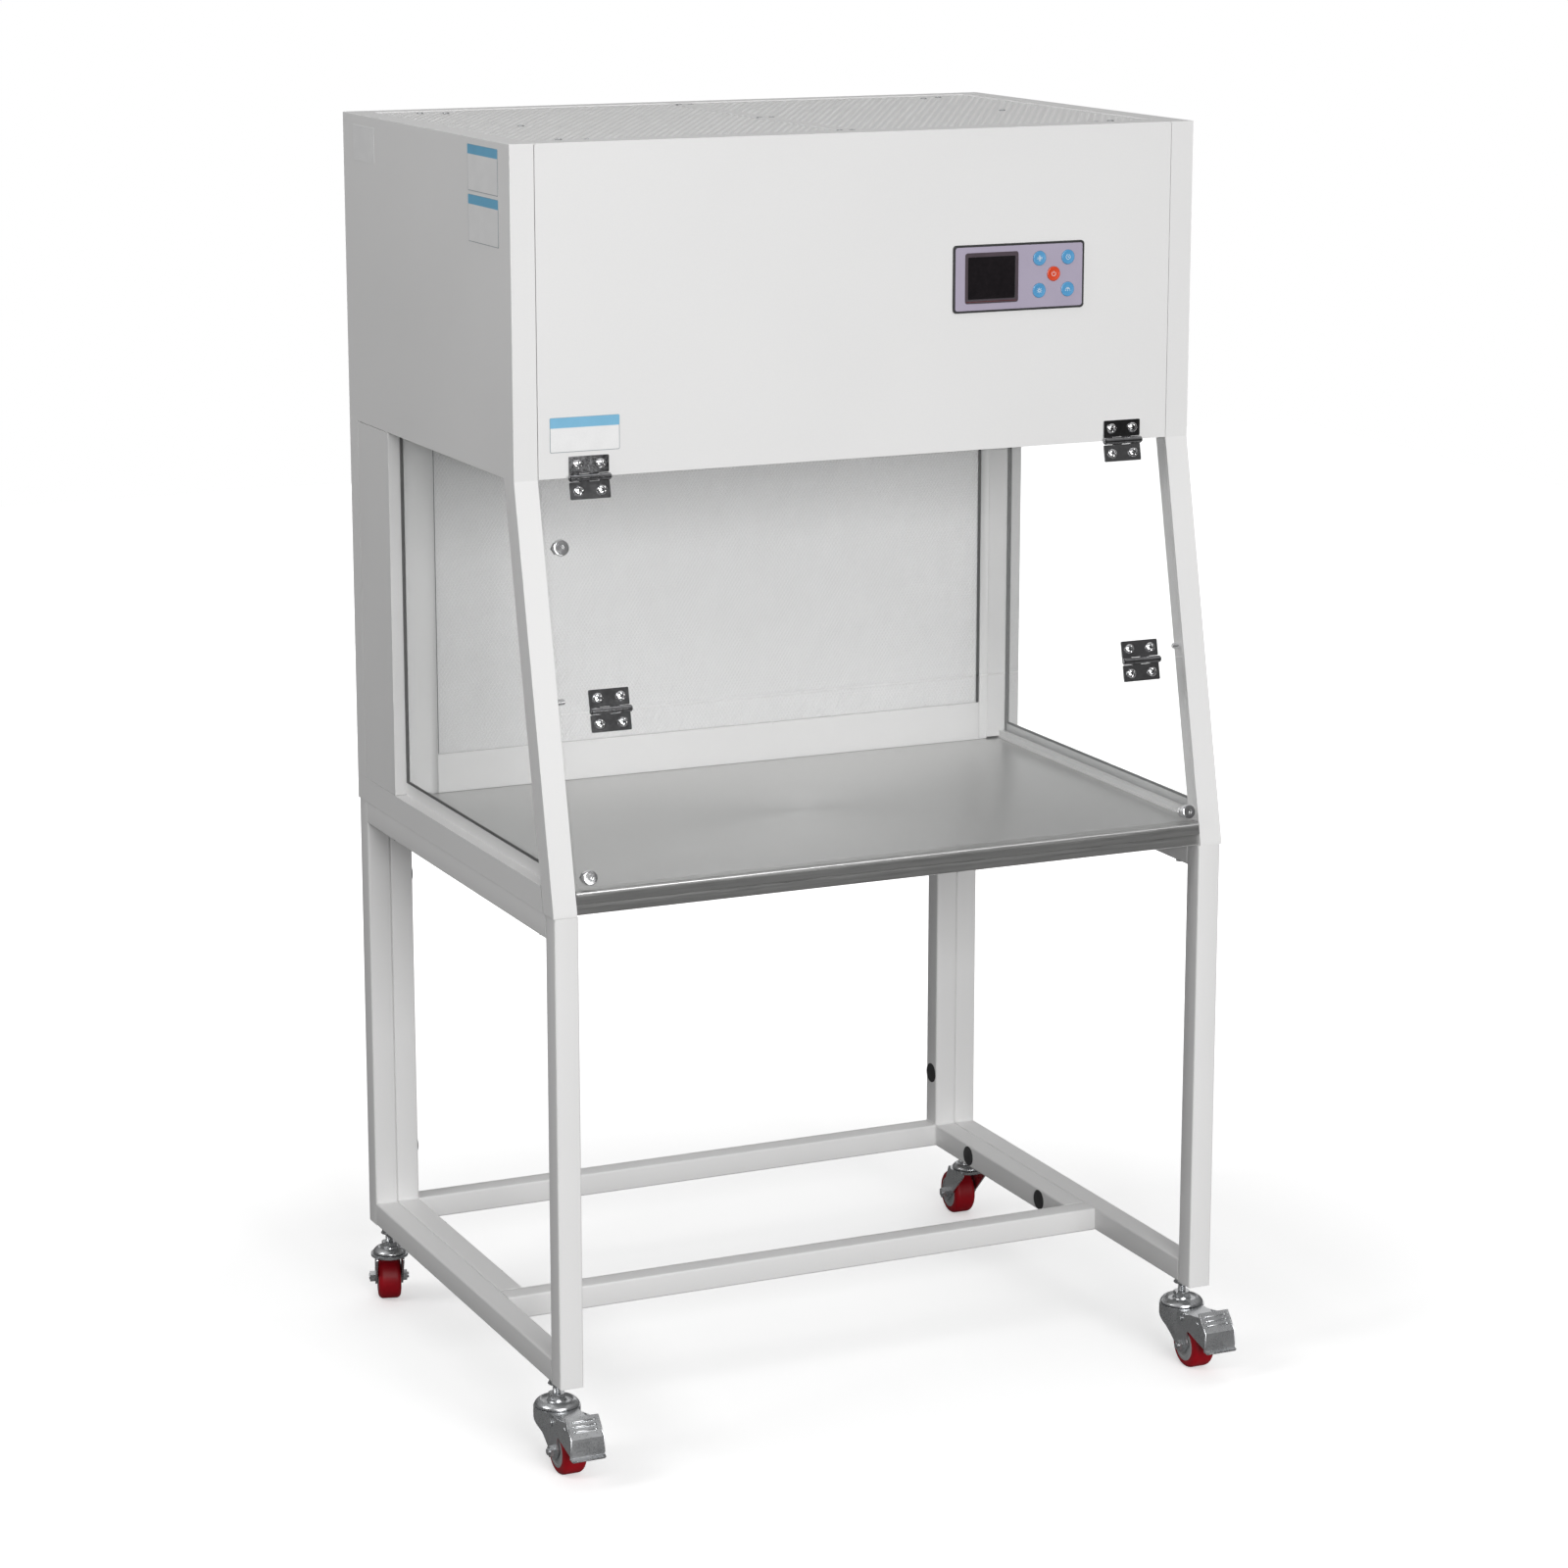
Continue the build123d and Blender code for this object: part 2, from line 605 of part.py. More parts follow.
filter_half = 400.0
filter_bottom = 752.0
filter_top = 1209.0
filter_y = depth(rear_wall_depth + 9, rear_wall_depth + 78)
filter_wall = 15.0
with BuildPart() as filter_frame:
    box((-filter_half, filter_half), filter_y, (filter_bottom, filter_top))
    box((-filter_half + filter_wall, filter_half - filter_wall), (filter_y[0] - 1, filter_y[1] + 1),
        (filter_bottom + filter_wall, filter_top - filter_wall), mode=Mode.SUBTRACT)
save("hepa_frame", filter_frame.part)

# Pleated media: flat folds running up the filter, joined at their noses.
pleats = 38
with BuildPart() as media:
    media_half = filter_half - filter_wall
    media_front = filter_y[0] + 3
    media_back = filter_y[1] - 3
    pleat_pitch = 2 * media_half / pleats
    fold = 4.0
    with BuildSketch(Plane.XY.offset(filter_bottom + filter_wall)):
        with BuildLine():
            front_line = []
            back_line = []
            for i in range(pleats + 1):
                x = -media_half + i * pleat_pitch
                near = media_front if i % 2 == 0 else media_back - fold
                front_line.append((x, near))
                back_line.append((x, near + fold))
            Polyline(*front_line, *reversed(back_line), close=True)
        make_face()
    extrude(amount=filter_top - filter_bottom - 2 * filter_wall)
save("hepa_media", media.part)

# The front panel turns back at the top as the roof's front strip.
panel_x = strip_inner - 0.5
cutout_width = 150.0
cutout_height = 62.0
with BuildPart() as front_panel:
    panel_low = bend_height + 0.4
    box((-panel_x, panel_x), depth(roof_setback, roof_setback + sheet), (panel_low, hood_top - sheet))
    box((-inside_flange + 0.3, inside_flange - 0.3),
        depth(roof_setback, roof_setback + roof_flange), (hood_top - sheet, hood_top))
    box((-panel_x, panel_x), depth(roof_setback, roof_setback + 22),
        (panel_low, panel_low + sheet))
    box((bezel_x - cutout_width / 2, bezel_x + cutout_width / 2),
        depth(roof_setback - 1, roof_setback + 3),
        (bezel_z - cutout_height / 2, bezel_z + cutout_height / 2), mode=Mode.SUBTRACT)
    hole_z = bend_height + axis_shift + screw_reach
    for x in (-hinge_x, hinge_x):
        for shift in (-screw_pitch / 2, screw_pitch / 2):
            rod((x + shift, roof_y - 1, hole_z), screw_hole_radius, 4.0, (0, 1, 0),
                mode=Mode.SUBTRACT)
save("front_panel", front_panel.part)

# Roof: two slotted intake grilles under the flanges, with a bar under their joint.
grille_z = (hood_top - 2 * sheet, hood_top - sheet)
grille_y = depth(roof_setback + roof_flange - 6, hood_depth - rear_flange + 6)
with BuildPart() as grille:
    box((0.3, strip_inner + 2), grille_y, grille_z)
    slot_field = Plane((strip_inner / 2, sum(grille_y) / 2, grille_z[1]), z_dir=(0, 0, 1))
    with BuildSketch(slot_field):
        with GridLocations(48.0, 30.0, 8, 16):
            SlotOverall(38.0, 7.0)
    extrude(amount=-3, mode=Mode.SUBTRACT)
    screw_spots = [(333.0, 150.0), (362.0, 165.0), (325.0, 381.0), (333.0, 620.0), (362.0, 635.0)]
    seam_depths = (156.0, 387.0, 640.0)
    screw_spots += [(8.0, d) for d in seam_depths]
    for x, d in screw_spots:
        rod((x, front_y + d, grille_z[0]), screw_hole_radius, 4.0, (0, 0, 1), mode=Mode.SUBTRACT)
save("roof_grilles", *both_sides(grille.part))

with BuildPart() as crossbar:
    box((-15, 15), depth(roof_setback + 26, hood_depth - 3), (grille_z[0] - 12, grille_z[0]))
    box((-13.5, 13.5), depth(roof_setback + 25, hood_depth - 2),
        (grille_z[0] - 13, grille_z[0] - sheet), mode=Mode.SUBTRACT)
    for d in seam_depths:
        with Locations((-8.0, front_y + d, grille_z[0]), (8.0, front_y + d, grille_z[0])):
            Cylinder(screw_hole_radius, 6.0, mode=Mode.SUBTRACT)
save("roof_crossbar", crossbar.part)

for x, d in screw_spots:
    with BuildPart() as screw:
        rod((x, front_y + d, grille_z[1]), 3.6, sheet, (0, 0, 1))
        fillet(screw.edges().group_by(Axis.Z)[-1], 1.0)
        rod((x, front_y + d, grille_z[1]), 2.0, 7.0, (0, 0, -1))
    fasteners += both_sides(screw.part)
save("bolts_and_screws", *fasteners)

with BuildPart() as prefilter:
    box((-405, 405), depth(roof_setback + 30, hood_depth - 32), (1528, 1548))
save("prefilter", prefilter.part)

# ---------------------------------------------------------------- inside the hood

ceiling_front = roof_setback + 26
with BuildPart() as ceiling:
    ceiling_x = (1 - recess_x, recess_x - 1)
    box(ceiling_x, depth(ceiling_front, rear_wall_depth), (ceiling_height, ceiling_height + sheet))
    box(ceiling_x, depth(ceiling_front, ceiling_front + sheet), (bend_height + 4, ceiling_height))
save("ceiling_panel", ceiling.part)

duct_top = 1440.0
outlet_z = (1262.0, 1378.0)
outlet_x = (-60.0, 150.0)
with BuildPart() as duct:
    duct_x = (-recess_x, recess_x)
    box(duct_x, depth(rear_wall_depth, rear_wall_depth + sheet), (ceiling_height + sheet, duct_top))
    box(duct_x, depth(rear_wall_depth, hood_depth - 2), (duct_top - sheet, duct_top))
    box(outlet_x, depth(rear_wall_depth - 1, rear_wall_depth + 3), outlet_z, mode=Mode.SUBTRACT)
save("plenum_casing", duct.part, *both_sides(plenum_cover.part))

# Centrifugal blower: a scroll with its inlet on top and its outlet into the plenum.
blower_x = 0.0
blower_y = front_y + 330.0
scroll_radius = 150.0
inlet_radius = 95.0
impeller_radius = 118.0
shaft_radius = 6.0


def scroll_outline(shrink):
    """Outline of the scroll and its outlet duct, drawn about the blower's axis."""
    with Locations((blower_x, blower_y)):
        Circle(scroll_radius - shrink)
    duct_start = blower_y
    duct_end = rear_wall_y if shrink == 0 else rear_wall_y + 1
    left = outlet_x[0] + shrink
    right = outlet_x[1] - shrink
    with Locations(((left + right) / 2, (duct_start + duct_end) / 2)):
        Rectangle(right - left, duct_end - duct_start)


with BuildPart() as housing:
    with BuildSketch(Plane.XY.offset(outlet_z[0])):
        scroll_outline(0)
    extrude(amount=outlet_z[1] - outlet_z[0])
    with BuildSketch(Plane.XY.offset(outlet_z[0] + sheet)):
        scroll_outline(sheet)
    extrude(amount=outlet_z[1] - outlet_z[0] - 2 * sheet, mode=Mode.SUBTRACT)
    rod((blower_x, blower_y, outlet_z[1] - 3), inlet_radius, 6.0, (0, 0, 1), mode=Mode.SUBTRACT)
    rod((blower_x, blower_y, outlet_z[0] - 1), shaft_radius + 6, 4.0, (0, 0, 1),
        mode=Mode.SUBTRACT)
save("blower_housing", housing.part)

motor_top = outlet_z[0] - 1
motor_bottom = ceiling_height + sheet
with BuildPart() as motor:
    rod((blower_x, blower_y, motor_bottom), 60.0, motor_top - motor_bottom - 2, (0, 0, 1))
    fillet(motor.edges().group_by(Axis.Z)[-1], 5.0)
    rod((blower_x, blower_y, motor_bottom), 76.0, 3.0, (0, 0, 1))
    rod((blower_x, blower_y, motor_bottom + 5), shaft_radius, 110.0, (0, 0, 1))
save("blower_motor", motor.part)

blade_count = 24
impeller_z = (outlet_z[0] + 10, outlet_z[1] - 12)
with BuildPart() as impeller:
    rod((blower_x, blower_y, impeller_z[0]), impeller_radius, 3.0, (0, 0, 1))
    rod((blower_x, blower_y, impeller_z[0]), 20.0, 24.0, (0, 0, 1))
    rod((blower_x, blower_y, impeller_z[1] - 3), impeller_radius, 3.0, (0, 0, 1))
    rod((blower_x, blower_y, impeller_z[1] - 4), inlet_radius - 2, 6.0, (0, 0, 1),
        mode=Mode.SUBTRACT)
    with BuildSketch(Plane((blower_x, blower_y, impeller_z[0] + 1), z_dir=(0, 0, 1))):
        with PolarLocations(impeller_radius - 13, blade_count):
            Rectangle(26, 2, rotation=32)
    extrude(amount=impeller_z[1] - impeller_z[0] - 2)
    rod((blower_x, blower_y, impeller_z[0] - 1), shaft_radius + running_gap, 30.0, (0, 0, 1),
        mode=Mode.SUBTRACT)
save("blower_impeller", impeller.part)


def lamp(lamp_depth, tube_radius, half_length, batten):
    """A tube lamp under the ceiling, on two holders and a batten."""
    batten_z = (ceiling_height - 6, ceiling_height)
    lamp_z = batten_z[0] - 3 - tube_radius
    with BuildPart() as fitting:
        box((-half_length, half_length), depth(lamp_depth - batten / 2, lamp_depth + batten / 2),
            batten_z)
        for x in (-half_length, half_length - 8):
            box((x, x + 8), depth(lamp_depth - tube_radius - 1, lamp_depth + tube_radius + 1),
                (lamp_z - tube_radius, batten_z[0]))
        rod((4 - half_length, front_y + lamp_depth, lamp_z), tube_radius, 2 * half_length - 8,
            (1, 0, 0))
    return fitting.part


save("led_lamp", lamp(190.0, 7.0, 290.0, 24.0))
save("uv_lamp", lamp(260.0, 7.8, 225.0, 30.0))

# ---------------------------------------------------------------- side windows


def side_outline(front_gap, rear, low, high):
    """A side window's outline: an upright rear edge and a front edge along the pillar."""
    low_front = front_y + front_gap + (low - foot_top) * lean_slope
    high_front = front_y + front_gap + (high - foot_top) * lean_slope
    with BuildLine() as outline:
        Polyline((low_front, low), (rear, low), (rear, high), (high_front, high), close=True)
    make_face(outline.edges())


with BuildPart() as window:
    with BuildSketch(Plane.YZ.offset(recess_x - glass)):
        side_outline(pillar_depth - 5, rear_wall_y - 0.3, rail_top + 0.4, bend_height - 0.4)
    extrude(amount=glass)
save("side_windows", *both_sides(window.part))

seal_width = 3.0
with BuildPart() as seal:
    seal_low = rail_top + 15.8
    seal_high = bend_height - 0.4
    with BuildSketch(Plane.YZ.offset(recess_x)):
        side_outline(pillar_depth + 0.3, rear_wall_y - 0.3, seal_low, seal_high)
    extrude(amount=1.6)
    with BuildSketch(Plane.YZ.offset(recess_x - 1)):
        side_outline(pillar_depth + 0.3 + seal_width, rear_wall_y - 0.3 - seal_width,
                     seal_low + seal_width, seal_high - seal_width)
    extrude(amount=4.0, mode=Mode.SUBTRACT)
save("window_seals", *both_sides(seal.part))

rest_radius = 3.5
with BuildPart() as pane_rest:
    rest_plane = shifted(sash_plane, strip_inner - 10, -rest_drop, -glass - 0.3 - rest_radius)
    rod(rest_plane.origin, rest_radius, 10.0, (1, 0, 0))
    rod(rest_plane.origin, rest_radius - 1.2, 1.2, (-1, 0, 0))
save("pane_rests", *both_sides(pane_rest.part))

# ---------------------------------------------------------------- folding sash


def knuckle_plane(plane, x):
    """A plane across the hinge axis, at a distance along the hinge."""
    return Plane(plane.from_local_coords((x, 0, axis_rise)), x_dir=plane.y_dir, z_dir=plane.x_dir)


def hinge_leaf(plane, side, knuckles, grip, with_pin):
    """One leaf of a butt hinge, with its knuckles, screws, washers and nuts.

    The plane lies on the mounting face with its origin under the hinge's axis.
    The leaf runs to +Y or -Y of it, and the screws pass through a wall of thickness grip.
    """
    segment = hinge_size / 4
    leaf_length = hinge_size / 2 - leaf_gap
    with BuildPart() as leaf:
        with BuildSketch(plane):
            with Locations((0, side * (leaf_gap + leaf_length / 2))):
                RectangleRounded(hinge_size, leaf_length, 1.5)
        extrude(amount=leaf_thickness)
        for k in knuckles:
            start = -hinge_size / 2 + k * segment + 0.15
            with BuildSketch(plane.offset(0.2)):
                with Locations((start + (segment - 0.3) / 2, side * (leaf_gap + 1) / 2)):
                    Rectangle(segment - 0.3, leaf_gap + 1)
            extrude(amount=leaf_thickness)
            with BuildSketch(knuckle_plane(plane, start)):
                Circle(knuckle_radius)
            extrude(amount=segment - 0.3)
        with BuildSketch(knuckle_plane(plane, -hinge_size / 2 - 1)):
            Circle(pin_radius if with_pin else pin_radius + running_gap)
        extrude(amount=hinge_size + 2, mode=Mode.ADD if with_pin else Mode.SUBTRACT)
        if with_pin:
            for x in (-hinge_size / 2 - 1.0, hinge_size / 2 + 0.1):
                with BuildSketch(knuckle_plane(plane, x)):
                    Circle(3.0)
                extrude(amount=0.9)
        for x in (-screw_pitch / 2, screw_pitch / 2):
            spot = shifted(plane, x, side * screw_reach, leaf_thickness)
            with BuildSketch(spot):
                Circle(4.8)
            extrude(amount=0.6)
            with BuildSketch(spot.offset(0.6)):
                Circle(3.7)
            extrude(amount=2.2, taper=12)
            with BuildSketch(spot):
                Circle(2.0)
            extrude(amount=-leaf_thickness - grip - 4)
            with BuildSketch(spot.offset(-leaf_thickness - grip)):
                RegularPolygon(3.9, 6)
            extrude(amount=-3.0)
    return leaf.part


def hinge_pair(plane, y, side, knuckles, grip, with_pin):
    """The same leaf on the left and right hinges of one fold line."""
    return [hinge_leaf(shifted(plane, x, y), side, knuckles, grip, with_pin)
            for x in (-hinge_x, hinge_x)]


fixed_knuckles = (0, 2)
moving_knuckles = (1, 3)
save("upper_hinge_fixed_leaves",
     *hinge_pair(panel_plane, axis_shift, 1, fixed_knuckles, sheet, True))
save("upper_hinge_moving_leaves",
     *hinge_pair(sash_plane, -axis_shift, -1, moving_knuckles, glass, False))
save("lower_hinge_fixed_leaves",
     *hinge_pair(sash_plane, -fold_line, 1, fixed_knuckles, glass, True))
save("lower_hinge_moving_leaves",
     *hinge_pair(sash_plane, -fold_line, -1, moving_knuckles, glass, False))


def pane(start, end, hinge_rows, round_holes):
    """A clear pane between two distances down the sash, drilled for its fittings."""
    with BuildPart() as piece:
        with BuildSketch(sash_plane):
            with Locations((0, -(start + end) / 2)):
                RectangleRounded(2 * pane_half_width, end - start, 2.0)
            for y in hinge_rows:
                with Locations((-hinge_x, y), (hinge_x, y)):
                    with GridLocations(screw_pitch, 1, 2, 1):
                        Circle(screw_hole_radius, mode=Mode.SUBTRACT)
            for x, y in round_holes:
                with Locations((x, y)):
                    Circle(4.0, mode=Mode.SUBTRACT)
        extrude(amount=-glass)
    return piece.part


upper_rows = (-axis_shift - screw_reach, -fold_line + screw_reach)
lower_rows = (-fold_line - screw_reach,)
knob_spots = ((-knob_x, -knob_drop), (knob_x, -knob_drop))
save("upper_pane", pane(pane_gap, upper_pane_end, upper_rows, ((latch_x, -latch_drop),)))
save("lower_pane", pane(fold_line + pane_gap, lower_pane_end, lower_rows, knob_spots))


def sash_fitting(x, drop, head_radius, head_height, tail, tail_radius):
    """A round knob on the pane's face with a socketed stud and a hexagonal nut behind."""
    spot = shifted(sash_plane, x, -drop)
    with BuildPart() as fitting:
        with BuildSketch(spot):
            Circle(head_radius)
        extrude(amount=head_height)
        fillet(fitting.edges(), 1.5)
        with BuildSketch(spot.offset(head_height)):
            RegularPolygon(3.0, 6)
        extrude(amount=-4, mode=Mode.SUBTRACT)
        with BuildSketch(spot):
            Circle(4.0)
        extrude(amount=-glass - tail)
        with BuildSketch(spot.offset(-glass)):
            RegularPolygon(tail_radius, 6)
        extrude(amount=-5.5)
    return fitting.part


save("upper_latch", sash_fitting(latch_x, latch_drop, 9.7, 6.0, 8.0, 8.0))
save("sash_knobs", *[sash_fitting(x, knob_drop, 9.0, 9.0, 11.0, 7.2)
                     for x in (-knob_x, knob_x)])

# ---------------------------------------------------------------- controls

button_spots = {
    "power_button": (button_x, button_z),
    "fan_button": (button_x - button_pitch, button_z + button_pitch),
    "timer_button": (button_x + button_pitch, button_z + button_pitch),
    "light_button": (button_x - button_pitch, button_z - button_pitch),
    "uv_button": (button_x + button_pitch, button_z - button_pitch),
}
bezel_front = roof_y - bezel_thickness
with BuildPart() as bezel:
    with BuildSketch(Plane((bezel_x, roof_y, bezel_z), x_dir=(1, 0, 0), z_dir=(0, -1, 0))):
        RectangleRounded(bezel_width, bezel_height, 1.5)
    extrude(amount=bezel_thickness)
    box((screen_x - screen_width / 2, screen_x + screen_width / 2), (bezel_front - 1, roof_y + 1),
        (screen_z - screen_height / 2, screen_z + screen_height / 2), mode=Mode.SUBTRACT)
    for x, z in button_spots.values():
        rod((x, bezel_front - 1, z), button_radius + 0.3, bezel_thickness + 2, (0, 1, 0),
            mode=Mode.SUBTRACT)
save("control_bezel", bezel.part)

for name, (x, z) in button_spots.items():
    with BuildPart() as button:
        rod((x, bezel_front - button_rise, z), button_radius, button_depth, (0, 1, 0))
        fillet(button.faces().sort_by(Axis.Y)[0].edges(), 0.8)
    save(name, button.part)

with BuildPart() as display:
    glass_half_width = screen_width / 2 - 0.1
    glass_half_height = screen_height / 2 - 0.1
    box((screen_x - glass_half_width, screen_x + glass_half_width), (bezel_front + 0.8, roof_y + 3),
        (screen_z - glass_half_height, screen_z + glass_half_height))
save("display", display.part)

board_y = roof_y + 3.5
switch_height = 0.9
with BuildPart() as board:
    box((bezel_x - 72, bezel_x + 72), (board_y, board_y + 1.6), (bezel_z - 29, bezel_z + 29))
    for x, z in button_spots.values():
        box((x - 3, x + 3), (board_y - switch_height, board_y), (z - 3, z + 3))
save("control_board", board.part)
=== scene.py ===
import json
import math
import random

import bmesh
import bpy
from mathutils import Matrix, Vector

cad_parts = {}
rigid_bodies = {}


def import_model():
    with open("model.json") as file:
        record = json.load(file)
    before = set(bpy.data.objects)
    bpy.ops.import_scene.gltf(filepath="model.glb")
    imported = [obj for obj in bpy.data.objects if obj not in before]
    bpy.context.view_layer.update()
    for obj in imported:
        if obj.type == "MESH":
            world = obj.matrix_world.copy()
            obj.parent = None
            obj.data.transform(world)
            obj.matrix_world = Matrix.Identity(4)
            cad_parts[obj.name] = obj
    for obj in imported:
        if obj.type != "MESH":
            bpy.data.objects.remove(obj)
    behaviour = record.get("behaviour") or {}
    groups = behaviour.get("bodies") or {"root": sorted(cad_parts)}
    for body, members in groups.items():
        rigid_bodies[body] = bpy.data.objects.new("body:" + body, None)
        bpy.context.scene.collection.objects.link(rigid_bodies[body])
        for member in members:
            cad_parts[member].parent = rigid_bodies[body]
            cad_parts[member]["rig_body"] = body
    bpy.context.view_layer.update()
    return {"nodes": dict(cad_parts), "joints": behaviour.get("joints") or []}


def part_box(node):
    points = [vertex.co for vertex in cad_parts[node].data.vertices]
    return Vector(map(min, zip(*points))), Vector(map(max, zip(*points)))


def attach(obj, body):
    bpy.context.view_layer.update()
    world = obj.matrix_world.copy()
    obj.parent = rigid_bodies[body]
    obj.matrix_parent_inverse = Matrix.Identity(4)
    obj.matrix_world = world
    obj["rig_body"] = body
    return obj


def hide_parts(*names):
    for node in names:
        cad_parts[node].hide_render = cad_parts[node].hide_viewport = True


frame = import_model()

nodes = frame["nodes"]
scene = bpy.context.scene
root = "hood_and_stand"
axis_x, axis_z = Vector((1, 0, 0)), Vector((0, 0, 1))
mm = 0.001

# Places read from the frame
frame_lo, frame_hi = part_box("stand_side_frame_right")
inner_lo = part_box("stand_inner_frame")[0]
panel_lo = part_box("front_panel")[0]
grille_lo, grille_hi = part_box("roof_grilles")
mesh_lo, mesh_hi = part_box("diffuser_mesh")
top_lo, top_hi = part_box("worktop")
skin_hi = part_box("side_panel_right")[1]
wall_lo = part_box("rear_wall_frame")[0]
bezel_lo, bezel_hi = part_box("control_bezel")
screen_lo, screen_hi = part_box("display")
front_y = frame_lo.y
rear_y = frame_hi.y
base_z = frame_lo.z
post_x = frame_lo.x
tube = 30 * mm
bend_z = panel_lo.z - 0.4 * mm
face_y = panel_lo.y


# ---------------------------------------------------------------- materials

def add(tree, kind, inputs=None, **settings):
    """A shader node with its properties set and its inputs set or linked."""
    made = tree.nodes.new(kind)
    for key, value in settings.items():
        setattr(made, key, value)
    for key, value in (inputs or {}).items():
        if isinstance(value, bpy.types.NodeSocket):
            tree.links.new(value, made.inputs[key])
        else:
            made.inputs[key].default_value = value
    return made


def surface(name, light, dark, rough, grain, relief, patch=0.12, stretch=(1, 1, 1), **fixed):
    """A surface with soft colour drift, a fine relief and an uneven gloss.

    light and dark are the ends of the colour drift and rough those of the roughness. patch is the
    size of the drift and grain the pitch of the relief, both in metres, and relief is its height.
    """
    material = bpy.data.materials.new(name)
    material.use_nodes = True
    tree = material.node_tree
    shader = tree.nodes["Principled BSDF"]
    place = add(tree, "ShaderNodeTexCoord").outputs["Object"]
    along = add(tree, "ShaderNodeMapping", {"Vector": place, "Scale": stretch}).outputs["Vector"]
    drift = add(tree, "ShaderNodeTexNoise", {"Vector": along, "Scale": 1 / patch, "Detail": 3.0})
    fine = add(tree, "ShaderNodeTexNoise", {"Vector": along, "Scale": 1 / grain, "Detail": 2.0})
    both = add(tree, "ShaderNodeMath", {0: drift.outputs["Fac"], 1: fine.outputs["Fac"]},
               operation="ADD")
    share = add(tree, "ShaderNodeMapRange", {"Value": both.outputs[0], "From Min": 0.6, "From Max": 1.4})
    tint = add(tree, "ShaderNodeValToRGB", {"Fac": share.outputs["Result"]})
    tint.color_ramp.elements[0].color = (*dark, 1)
    tint.color_ramp.elements[1].color = (*light, 1)
    gloss = add(tree, "ShaderNodeMapRange", {"Value": share.outputs["Result"], "To Min": rough[0],
                                             "To Max": rough[1]})
    bump = add(tree, "ShaderNodeBump", {"Height": fine.outputs["Fac"], "Distance": relief,
                                        "Strength": 0.6})
    tree.links.new(tint.outputs["Color"], shader.inputs["Base Color"])
    tree.links.new(gloss.outputs["Result"], shader.inputs["Roughness"])
    tree.links.new(bump.outputs["Normal"], shader.inputs["Normal"])
    for key, value in fixed.items():
        shader.inputs[key.replace("_", " ").title().replace("Ior", "IOR")].default_value = value
    return material


def clear(name, tint, alpha, rough, grain=0.004):
    """A clear sheet: nearly see-through face on, with soft streaks in its gloss. Towards grazing angles
    the near-white sheet turns more solid, a painted reflection.
    """
    material = surface(name, tint, [0.96 * c for c in tint], rough, grain, 0.00001, patch=0.05)
    tree = material.node_tree
    shader = tree.nodes["Principled BSDF"]
    # Painted reflection: the alpha rises as the sheet turns away from the view, so it looks whiter edge
    # on
    edge = add(tree, "ShaderNodeLayerWeight", {"Blend": 0.25})
    share = add(tree, "ShaderNodeMapRange", {"Value": edge.outputs["Facing"], "To Min": alpha[0],
                                             "To Max": alpha[1]})
    tree.links.new(share.outputs["Result"], shader.inputs["Alpha"])
    return material


def grey(value, warm=0.0):
    return (value * (1 + warm), value, value * (1 - warm))


white = surface("powder_coat", grey(0.82, 0.004), grey(0.79, 0.004), (0.38, 0.5), 0.0011, 0.00006,
                patch=0.25)
# The same powder coat with painted shade: a little darker, and a little rougher, for the parts inside
# the hood
white_shaded_inside = surface("powder_coat_shaded_inside", grey(0.80, 0.004), grey(0.76, 0.004), (0.4, 0.52),
                       0.0011, 0.00006, patch=0.2)
zinc = surface("bright_zinc", (0.72, 0.73, 0.74), (0.58, 0.59, 0.605), (0.22, 0.36), 0.0022, 0.00003,
               patch=0.02, metallic=1.0)
zinc_dark = surface("dark_zinc", (0.30, 0.30, 0.31), (0.16, 0.16, 0.17), (0.25, 0.4), 0.002, 0.00005,
                    patch=0.01, metallic=1.0)
galvanised = surface("galvanised", (0.62, 0.64, 0.66), (0.42, 0.44, 0.46), (0.3, 0.5), 0.006, 0.00003,
                     patch=0.02, metallic=1.0)
steel = surface("brushed_steel", (0.66, 0.66, 0.652), (0.57, 0.57, 0.564), (0.27, 0.4), 0.0004,
                0.00001, patch=0.002, stretch=(0.012, 1, 1), metallic=1.0, anisotropic=0.55)
chrome = surface("hinge_chrome", (0.42, 0.42, 0.43), (0.30, 0.30, 0.31), (0.05, 0.13), 0.004, 0.00002,
                 patch=0.02, metallic=1.0)
bright = surface("polished_steel", (0.90, 0.90, 0.91), (0.78, 0.78, 0.79), (0.08, 0.16), 0.003, 0.00002,
                 patch=0.02, metallic=1.0)
aluminium = surface("aluminium", (0.78, 0.79, 0.80), (0.66, 0.67, 0.68), (0.3, 0.42), 0.0004, 0.00001,
                    patch=0.002, stretch=(0.02, 1, 1), metallic=1.0)
red = surface("polyurethane", (0.42, 0.003, 0.012), (0.32, 0.002, 0.008), (0.34, 0.5), 0.0012, 0.00004,
              patch=0.02, specular_ior_level=0.35)
nylon_rim = surface("nylon_rim", (0.42, 0.425, 0.43), (0.36, 0.365, 0.37), (0.4, 0.55), 0.0009, 0.00003,
                    patch=0.02)
nylon = surface("grey_nylon", (0.23, 0.235, 0.24), (0.17, 0.175, 0.18), (0.45, 0.6), 0.0009, 0.00005,
                patch=0.02)
black = surface("black_plastic", (0.028, 0.028, 0.03), (0.014, 0.014, 0.015), (0.4, 0.6), 0.0007,
                0.00005, patch=0.03)
rubber = surface("black_rubber", (0.02, 0.02, 0.02), (0.01, 0.01, 0.01), (0.6, 0.8), 0.0006, 0.00004,
                 patch=0.03)
seal = surface("seal_rubber", (0.15, 0.15, 0.15), (0.10, 0.10, 0.10), (0.6, 0.8), 0.0006, 0.00004,
               patch=0.03)
